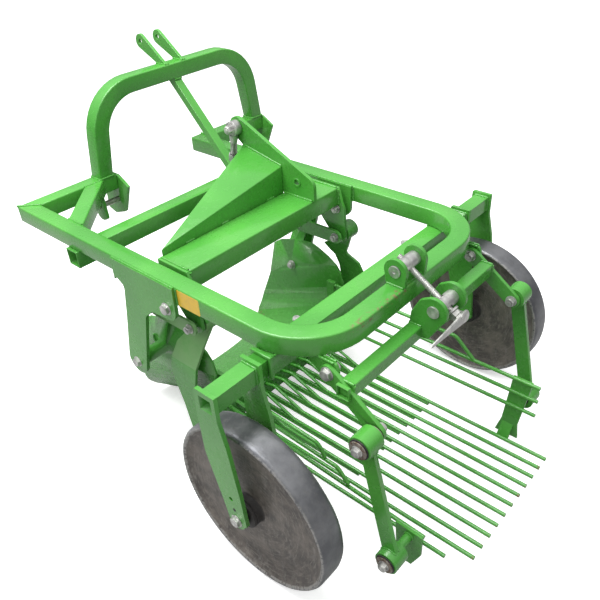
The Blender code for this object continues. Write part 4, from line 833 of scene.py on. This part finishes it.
def ring_profile(start, length, bore, radius, chamfer):
    """A turned ring, its outer edges chamfered."""
    sign = 1 if length > 0 else -1
    return [(start, bore), (start, radius - chamfer), (start + sign * chamfer, radius),
            (start + length - sign * chamfer, radius), (start + length, radius - chamfer),
            (start + length, bore)]


def rings_on(name, finish, body, pin, rows):
    """Turned rings on one pin: each row is a start, length, bore, radius and chamfer."""
    turned(name, finish, body, [((0, *pin), ring_profile(*row), True) for row in rows], steps=40)


for node in ("sieve_bush_left", "sieve_bush_right"):
    dressed(node, RUBBER, 0.001)
rings_on("sieve_bush_lips", RUBBER, "sieve", HANGER_PIN,
         [(hub[1], LIP * 0.9, BUSH_BORE, LIP_R, LIP_CHAMFER) for hub in SIEVE_HUB.values()])
rings_on("sieve_bush_discs", RUSTY, "rocker", HANGER_PIN,
         [(hub[1] + LIP, DISC, 0.0082, DISC_R, DISC_CHAMFER) for hub in SIEVE_HUB.values()])


# ---------------------------------------------------------------- rear lever
# A square tube across the loop's rear, with an arm at each end, hangs on two hangers and is
# held by the adjusting screw.  Two rounded cheeks on the tube hold the screw's nut bar.
REAR_PIVOT = (-0.108, 0.660)
LINK_TOP = (-0.258, 0.550)
NUT_AT = (-0.215, 0.715)
TUBE_Y, TUBE_Z = (-0.183, -0.143), (0.614, 0.654)
TUBE_ENDS = (-0.3627, 0.3327)
CHEEKS = ((-0.065, -0.053), (0.030, 0.042))
CHEEK_R = 0.041

cheek = [(-0.143, 0.652), (-0.146, 0.690), (-0.172, 0.738)]
cheek += [place[1:] for place in arc(0, *NUT_AT, CHEEK_R, degrees(65, 226, 8))]
cheek += [(-0.205, 0.620), (-0.181, 0.616)]
plates("rear_lever_tube_steel", GREEN, "frame",
       [(box_outline(*TUBE_ENDS, TUBE_Y[0], *TUBE_Z), (0, TUBE_Y[1] - TUBE_Y[0], 0))]
       + [([(low, y, z) for y, z in cheek], (high - low, 0, 0)) for low, high in CHEEKS]
       + [(box_outline(-0.3865, -0.3748, y, low, high), (0, run, 0)) for y, run, low, high in (
           (TUBE_Y[0], 0.040, TUBE_Z[1] - 0.004, TUBE_Z[1]),
           (TUBE_Y[0], 0.040, TUBE_Z[0], TUBE_Z[0] + 0.004),
           (TUBE_Y[0], 0.004, TUBE_Z[0] + 0.003, TUBE_Z[1] - 0.003),
           (TUBE_Y[1] - 0.004, 0.004, TUBE_Z[0] + 0.003, TUBE_Z[1] - 0.003))],
       ["rear_lever_tube"], edge=0.0022)
for node in ("lever_hanger_left", "lever_hanger_right",
             "rear_lever_arm_left", "rear_lever_arm_right"):
    dressed(node, GREEN)
weld("rear_lever_welds", "frame", [
    *[seam(x, (TUBE_Y[0] + 0.001, TUBE_Y[1] - 0.002), TUBE_Z[1]) for x in TUBE_ENDS],
    *[seam(x, TUBE_Y[0], (TUBE_Z[0] + 0.003, TUBE_Z[1] - 0.003)) for x in TUBE_ENDS],
    *[seam(x, (TUBE_Y[0] + 0.002, TUBE_Y[1]), TUBE_Z[1]) for pair in CHEEKS for x in pair],
    *[seam(x, (-0.120, -0.066), RAIL_UNDER + 0.0005) for x in (-0.363, -0.353, 0.345, 0.3555)],
])
fasten("rear_pivot_bolts", "frame", HEAD,
       [(-0.375, *REAR_PIVOT, -1, 0.029, 0.0135), (0.3555, *REAR_PIVOT, 1, 0.029, 0.0135)])
fasten("rear_pivot_nuts", "frame", NUT,
       [(-0.353, *REAR_PIVOT, 1, 0.026, 0.020), (0.333, *REAR_PIVOT, -1, 0.026, 0.020)])


# ---------------------------------------------------------------- adjusting screw
# A threaded spindle turns in a plated bar between two ears on the loop, and pulls a second
# bar between the lever's cheeks.  A flat cranked handle is held on its end by stacked nuts.
SCREW_X = -0.0115
SCREW_TOP = (-0.091, 0.794)
EAR_FACES = (-0.065, 0.042)
TRUNNION_R = 0.0182
SPINDLE_R, THREAD_DEPTH, THREAD_PITCH = 0.0093, 0.0011, 0.0030

dressed("screw_bracket", GREEN, 0.001)
weld("screw_bracket_welds", "frame",
     [seam(x, (-0.119, -0.067), RAIL_TOP + 0.001) for pair in CHEEKS for x in pair])
dressed("screw_nut", ZINC, 0.0012)
BODY_R, BODY_HALF = 0.021, 0.0412
body = [(-BODY_HALF, 0), (-BODY_HALF, BODY_R - 0.001), (-BODY_HALF + 0.001, BODY_R),
        (-0.003, BODY_R), (0, BODY_R - 0.0008), (0.003, BODY_R),
        (BODY_HALF - 0.001, BODY_R), (BODY_HALF, BODY_R - 0.001), (BODY_HALF, 0)]
turned("adjusting_screw_bar", ZINC, "frame", [((SCREW_X, *SCREW_TOP), body, False)],
       ["adjusting_screw"])
dimple = [(0, TRUNNION_R - 0.0001), (0, TRUNNION_R), (0.0034, TRUNNION_R),
          (0.0043, TRUNNION_R - 0.0012), (0.0043, 0.0052), (0.0022, 0.0030), (0.0016, 0)]
turned("trunnion_ends", ZINC, "frame",
       [((x, *place), [(along * way, radius) for along, radius in dimple], False)
        for place in (SCREW_TOP, NUT_AT) for x, way in ((EAR_FACES[0], -1), (EAR_FACES[1], 1))])

top, low_end = Vector((0, *SCREW_TOP)), Vector((0, *NUT_AT))
down = (low_end - top).normalized()
across = Vector((1, 0, 0))
upward = down.cross(across)
start, length, steps = -0.030, (low_end - top).length + 0.030 + 0.064, 16
work = bmesh.new()
half_turns = int(length / (THREAD_PITCH / 2))
rings = []
for i in range(half_turns + 1):
    ring = []
    for j in range(steps):
        a = math.tau * j / steps
        run = start + i * THREAD_PITCH / 2 + THREAD_PITCH * j / steps
        run = min(max(run, start), start + length)
        radius = SPINDLE_R if i % 2 else SPINDLE_R - THREAD_DEPTH
        ring.append(work.verts.new(at(SCREW_X, 0, 0) + top + down * run
                                   + (across * math.cos(a) + upward * math.sin(a)) * radius))
    rings.append(ring)
for i in range(half_turns):
    for j in range(steps):
        k = (j + 1) % steps
        on = i if k else i + 2          # past its last place a ring goes on one pitch further
        if on < half_turns:
            work.faces.new((rings[i][j], rings[on][k], rings[on + 1][k], rings[i + 1][j]))
modelled(work, "spindle_thread", ZINC, "frame", crease=50)

handle_at = Vector((SCREW_X, *NUT_AT)) + down * 0.0600
face_way = Vector((0, -0.98, 0.17)).normalized()
width_way = face_way.cross(across)
blade = [(0.023 + 0.017 * math.cos(a), 0.017 * math.sin(a)) for a in degrees(-90, 91, 15)]
blade += [(-0.020, 0.0135), (-0.060, 0.0095), (-0.143, 0.0040), (-0.150, 0.0), (-0.143, -0.0040),
          (-0.060, -0.0095), (-0.020, -0.0135)]
plates("crank_handle", ZINC, "frame",
       [([handle_at + across * u + width_way * v for u, v in blade], tuple(face_way * 0.006))],
       edge=0.0015)

work = bmesh.new()
for run, thick, wide, steps in ((0.026, 0.007, 0.036, 28), (0.0335, 0.013, 0.031, 6),
                                (0.047, 0.0115, 0.028, 6)):
    lathe(work, [(run, 0.0), (run, wide * 0.52),
                 (run + 0.001, wide * 0.577), (run + thick - 0.001, wide * 0.577),
                 (run + thick, wide * 0.50), (run + thick, 0.0)], Vector(), steps)
turn = Vector((1, 0, 0)).rotation_difference(down).to_matrix().to_4x4()
work.transform(Matrix.Translation(at(SCREW_X, *NUT_AT)) @ turn)
modelled(work, "crank_nuts", ZINC, "frame", crease=24)


# ---------------------------------------------------------------- swing links
# Flat bars with a tube hub welded at each end hang from the rear lever's arms and carry the
# sieve's rear on rubber bushes.
HUB_WELD_R, BAR_EDGE = 0.0345, 0.008

for node in ("swing_link_left", "swing_link_right"):
    dressed(node, GREEN, 0.0014)
for node in ("swing_bush_left", "swing_bush_right"):
    dressed(node, RUBBER, 0.0008)
OUTER_ENDS = ((SWING_HUB["left"][0], -1), (SWING_HUB["right"][1], 1))
LEFT_INNER_END = (SWING_HUB["left"][1], 1)
rings_on("swing_top_lips", RUBBER, "frame", LINK_TOP,
         [(x, way * LIP * 0.85, BUSH_BORE, LIP_R, LIP_CHAMFER)
          for x, way in (OUTER_ENDS[0], LEFT_INNER_END, OUTER_ENDS[1])])
rings_on("swing_top_discs", RUSTY, "frame", LINK_TOP,
         [(x + way * LIP, way * DISC, BUSH_BORE, DISC_R, DISC_CHAMFER)
          for x, way in (*OUTER_ENDS, LEFT_INNER_END)])
rings_on("swing_foot_rubber", RUBBER, "sieve", FOOT_PIN,
         [row for (x, way), hub in zip(OUTER_ENDS, SWING_HUB.values()) for row in (
             (hub[0] + 0.001, 0.054, 0.0083, 0.0185, DISC_CHAMFER),
             (x + way * 0.0006, way * LIP * 0.85, BUSH_BORE, LIP_R, LIP_CHAMFER))])
rings_on("swing_foot_discs", RUSTY, "sieve", FOOT_PIN,
         [(x + way * LIP, way * 0.0030, BUSH_BORE, DISC_R, DISC_CHAMFER) for x, way in OUTER_ENDS])
fasten("swing_top_bolts", "frame", HEAD, [
    (SWING_HUB["left"][0] - 0.0075, *LINK_TOP, -1, 0.023, 0.0125),
    (SWING_HUB["right"][1] + 0.0075, *LINK_TOP, 1, 0.023, 0.0125),
])
fasten("swing_top_nuts", "frame", NUT, [
    (-0.363, *LINK_TOP, 1, 0.026, 0.020), (0.333, *LINK_TOP, -1, 0.026, 0.020),
])
fasten("swing_foot_nuts", "sieve", NUT, [
    (SWING_HUB["left"][0] - 0.0068, *FOOT_PIN, -1, 0.023, 0.016),
    (SWING_HUB["right"][1] + 0.0068, *FOOT_PIN, 1, 0.023, 0.016),
])
weld("swing_link_welds", "swing_links", [
    arc(x, *centre, HUB_WELD_R, angles) for low, high in SWING_HUB.values()
    for x in ((low + high) / 2 - BAR_EDGE, (low + high) / 2 + BAR_EDGE)
    for centre, angles in ((LINK_TOP, degrees(215, 300, 12)), (FOOT_PIN, degrees(35, 120, 12)))
], bead=0.0030)


# ---------------------------------------------------------------- wheels
# Smooth drums: a rolled steel tread is welded to two dished side sheets with a turned hub
# between them.  Soil has polished the tread blue-grey with soft dents, and scratched the
# sides brown; the weld round each rim is ground bright.
WHEEL_R, WHEEL_HALF = 0.2700, 0.0435
DISH_R, DISH = 0.226, 0.020
HUB_R, HUB_HALF, BORE = 0.045, 0.059, 0.0129
AXLE_Z = 0.270
WHEEL_X = {"left": -0.559, "right": 0.612}
TREAD_R, SHOULDER_R = 0.262, 0.245      # the tread starts at one, the rim's weld at the other
SPOKES = 144


def wheel_steel(name, centre):
    """Blue-grey tread, bright rim weld and brown scratched dish, told apart by radius."""
    paint = Finish(name, "wheel_steel", roughness=0.45, metallic=0.35)
    y, z = paint.axis("Y") - centre.y, paint.axis("Z") - centre.z
    radius = (y * y + z * z) ** 0.5
    cloud = paint.noise(7.0, 5.0, 0.65).ramp(0.35, 0.70)
    scratch = paint.noise(60.0, 6.0, 0.8, stretch=(1, 1, 0.25)).ramp(0.50, 0.66)
    tread = paint.mix(cloud, (0.110, 0.114, 0.124), (0.215, 0.219, 0.230))
    tread = paint.mix(scratch * 0.30, tread, (0.240, 0.230, 0.220))
    dish = paint.mix(paint.noise(16.0, 5.0, 0.7).ramp(0.35, 0.68),
                     (0.088, 0.080, 0.074), (0.205, 0.180, 0.158))
    swirl = paint.node("ShaderNodeCombineXYZ", {}, {0: radius * 95.0, 1: paint.node(
        "ShaderNodeMath", {"operation": "ARCTAN2"}, {0: y, 1: z}) * 2.6})
    swirl = paint.node("ShaderNodeTexNoise", {},
                       {"Vector": swirl, "Scale": 1.6, "Detail": 5.0, "Roughness": 0.7})
    dish = paint.mix(swirl.ramp(0.50, 0.68) * 0.65, dish, (0.290, 0.265, 0.235))
    dish = paint.mix(scratch * 0.4, dish, (0.340, 0.325, 0.305))
    side = 1 - ((radius - WHEEL_R) / 0.0145).size().ramp(0.80, 1.0)
    colour = paint.mix(side, dish, tread)
    ragged = paint.noise(45.0, 5.0, 0.75) * 0.006
    rim = 1 - ((radius + ragged - TREAD_R).size() / 0.0075).ramp(0.50, 1.0)
    speck = paint.noise(120.0, 4.0, 0.7)
    rim = rim * speck.ramp(0.40, 0.50)
    colour = paint.mix(rim * 0.75, colour, (0.430, 0.420, 0.400))
    hub = 1 - radius.ramp(0.046, 0.052)
    colour = paint.mix(hub * 0.9, colour, (0.022, 0.021, 0.021))
    paint.feed("Base Color", colour)
    paint.feed("Metallic", rim * 0.3 + side * 0.30 + 0.25 - hub * 0.20)
    paint.feed("Roughness", 0.50 - side * 0.16 + scratch * 0.10 + hub * 0.12)
    paint.bump(paint.noise(26.0, 4.0, 0.6) + scratch * 0.25 + rim * 0.5, 0.30, 0.0022)
    return paint.material


for side, centre_x in WHEEL_X.items():
    axle = at(centre_x, 0, AXLE_Z)
    half_profile = [(HUB_HALF, BORE), (HUB_HALF, HUB_R - 0.006), (HUB_HALF - 0.003, HUB_R - 0.001),
                    (0.050, HUB_R), (0.0485, HUB_R - 0.003), (0.0455, HUB_R - 0.003),
                    (0.044, HUB_R), (0.030, HUB_R),
                    (0.0262, HUB_R + 0.001), (0.0240, HUB_R + 0.004)]
    half_profile += [(WHEEL_HALF - DISH + 0.0035 * math.sin(math.pi * t / 8) - 0.0006 * (t % 2),
                      HUB_R + 0.004 + (DISH_R - HUB_R - 0.004) * t / 8) for t in range(1, 9)]
    half_profile += [(0.0262, 0.236), (0.0300, 0.2445), (0.0355, 0.2525), (0.0392, 0.2572),
                     (0.0418, 0.2606), (0.0408, 0.2636), (0.0380, 0.2664), (0.0335, 0.2688),
                     (0.0270, 0.2697), (0.0180, 0.2699), (0.0070, WHEEL_R)]
    profile = half_profile + [(-along, radius) for along, radius in reversed(half_profile)]
    work = bmesh.new()
    lathe(work, profile, axle, SPOKES, True)
    bmesh.ops.recalc_face_normals(work, faces=work.faces)
    for vertex in work.verts:
        out = Vector((0, vertex.co.y - axle.y, vertex.co.z - axle.z))
        far = out.length
        if far < HUB_R + 0.002:
            continue
        away = out.normalized()
        dent = max(noise.noise(vertex.co * 9.0 + Vector((3.1, 0, centre_x * 40))), 0.0)
        ripple = noise.noise(vertex.co * 60.0 + Vector((centre_x * 90, 7.0, 0)))
        if far > TREAD_R:
            vertex.co -= away * (dent * 0.0030 + max(ripple, 0) * 0.0006)
        elif far > SHOULDER_R:
            vertex.co -= away * max(noise.noise(vertex.co * 140.0), 0.0) * 0.0022
        else:
            inward = -1 if vertex.co.x > axle.x else 1
            vertex.co.x += inward * (dent * 0.0035 + max(ripple, 0) * 0.0008)
    modelled(work, f"wheel_drum_{side}", wheel_steel(f"wheel_steel_{side}", axle),
             "wheel_" + side, ["wheel_" + side], crease=40)


# ---------------------------------------------------------------- forks and axles
# Two flame-cut arms are welded to the square tube that slides in the wheel beam.  The axle is
# a long bolt through both arms, with a bare steel washer at each side of the wheel's hub.
FORK_GAP, FORK_ARM = 0.138, 0.012
AXLE_R, AXLE_AF, AXLE_HEAD = 0.0125, 0.0285, 0.0121
WASHER, WASHER_R = 0.0050, 0.0290

for side, hand in HAND.items():
    centre_x = WHEEL_X[side]
    faces = (centre_x - FORK_GAP / 2 - FORK_ARM, centre_x + FORK_GAP / 2 + FORK_ARM)
    dressed("wheel_fork_" + side, GREEN)
    turned(f"axle_bolt_{side}", ZINC, "frame",
           [((faces[0] - 0.003, 0, AXLE_Z),
             pin_profile(faces[1] - faces[0] + 0.006, AXLE_R, 0.001), False)],
           ["axle_" + side])
    fasten(f"axle_head_{side}", "frame", HEAD,
           [(faces[0], 0, AXLE_Z, -1, AXLE_AF, AXLE_HEAD)])
    fasten(f"axle_nut_{side}", "frame", HEAD,
           [(faces[1], 0, AXLE_Z, 1, AXLE_AF, AXLE_HEAD)])
    # Painted shade: a black disc, just proud of the fork arm's outer face, stands in for the shade inside the
    # small hole in the fork foot.
    turned(f"fork_plug_{side}", RUBBER, "frame",
           [((faces[0] - 0.0004, 0.003, 0.311), pin_profile(0.004, 0.0055, 0.0003), False)],
           steps=20)
    rings_on(f"hub_washers_{side}", BARE_STEEL, "frame", (0, AXLE_Z),
             [(centre_x + way * (FORK_GAP / 2 - 0.0004), -way * WASHER, 0.0126, WASHER_R,
               LIP_CHAMFER) for way in (-1, 1)])
    inner = centre_x - hand * FORK_GAP / 2
    round_tube = ((0.023, 0.635), (0.023, 0.685), (0.073, 0.685), (0.073, 0.635))
    weld(f"fork_welds_{side}", "frame", [
        [(inner - hand * (FORK_ARM + 0.0005), y, z) for y, z in round_tube],
        *[[(face, y, z) for y, z in round_tube[:3]]
          for face in (inner + hand * 0.0006, centre_x + hand * (FORK_GAP / 2 - 0.0006))],
    ])


# ---------------------------------------------------------------- floor, light and camera
# A plain white floor under an overcast sky: bright overhead, dimmer towards the horizon.  The
# camera sees both as white, while the floor gives the machine less of its light back.
FLOOR_WHITE, FLOOR_BOUNCE, FLOOR_GLOW = 0.93, 0.22, 0.48
SKY_HIGH, SKY_LOW = 1.10, 0.20

ground = Finish("studio_floor", "green_paint", roughness=0.9)
seen = ground.node("ShaderNodeLightPath")
glossy = ground.node("ShaderNodeLightPath", output=3)
clear = ground.node("ShaderNodeLightPath", output=6)
direct = seen.most(glossy * 0.35).most(clear)
ground.feed("Base Color", ground.mix(direct, (FLOOR_BOUNCE,) * 3, (FLOOR_WHITE,) * 3))
ground.feed("Emission Color", ground.mix(seen, (0, 0, 0), (FLOOR_GLOW,) * 3))
ground.shader.inputs["Emission Strength"].default_value = 1.0
bpy.ops.mesh.primitive_plane_add(size=40)
floor = bpy.context.object
floor.name = "studio_floor"
floor.data.materials.append(ground.material)

world = bpy.data.worlds.new("studio")
bpy.context.scene.world = world
world.use_nodes = True
sky = world.node_tree
direction = add_node(sky, "ShaderNodeTexCoord").outputs["Generated"]
height = add_node(sky, "ShaderNodeSeparateXYZ", sockets={0: direction}).outputs["Z"]
strength = add_node(sky, "ShaderNodeMapRange",
                    sockets={0: height, 1: 0.05, 2: 0.85, 3: SKY_LOW, 4: SKY_HIGH}).outputs[0]
by_camera = add_node(sky, "ShaderNodeLightPath").outputs["Is Camera Ray"]
shown = add_node(sky, "ShaderNodeMix", sockets={0: by_camera, 2: strength, 3: 1.0}).outputs[0]
background = sky.nodes["Background"].inputs
put(sky, background["Color"], (1, 1, 1, 1))
put(sky, background["Strength"], shown)


def softbox(name, place, aim, width, watts):
    lamp = bpy.data.lights.new(name, "AREA")
    lamp.size = width
    lamp.energy = watts
    holder = bpy.data.objects.new(name, lamp)
    holder.location = place
    holder.rotation_euler = (Vector(aim) - Vector(place)).to_track_quat("-Z", "Y").to_euler()
    bpy.context.scene.collection.objects.link(holder)


softbox("overhead", (-0.6, 0.9, 4.0), (0, 0, 0.3), 2.6, 165)
softbox("side", (-3.2, 0.2, 2.4), (0, 0, 0.4), 2.0, 14)

lens = bpy.data.cameras.new("view")
lens.lens = 38.957
lens.sensor_width = 36.0
view = bpy.data.objects.new("view", lens)
right = Vector((0.6604, -0.7490, -0.0541))
up = Vector((0.4537, 0.3405, 0.8235))
ahead = Vector((0.5983, 0.5684, -0.5647))
turn = Matrix((right, up, -ahead)).transposed()
view.matrix_world = Matrix.Translation((-1.362, -1.34748, 1.720)) @ turn.to_4x4()
bpy.context.scene.collection.objects.link(view)
bpy.context.scene.camera = view
bpy.context.scene.view_settings.view_transform = "Standard"

for shape in (NUT, HEAD):
    bpy.data.objects.remove(shape)
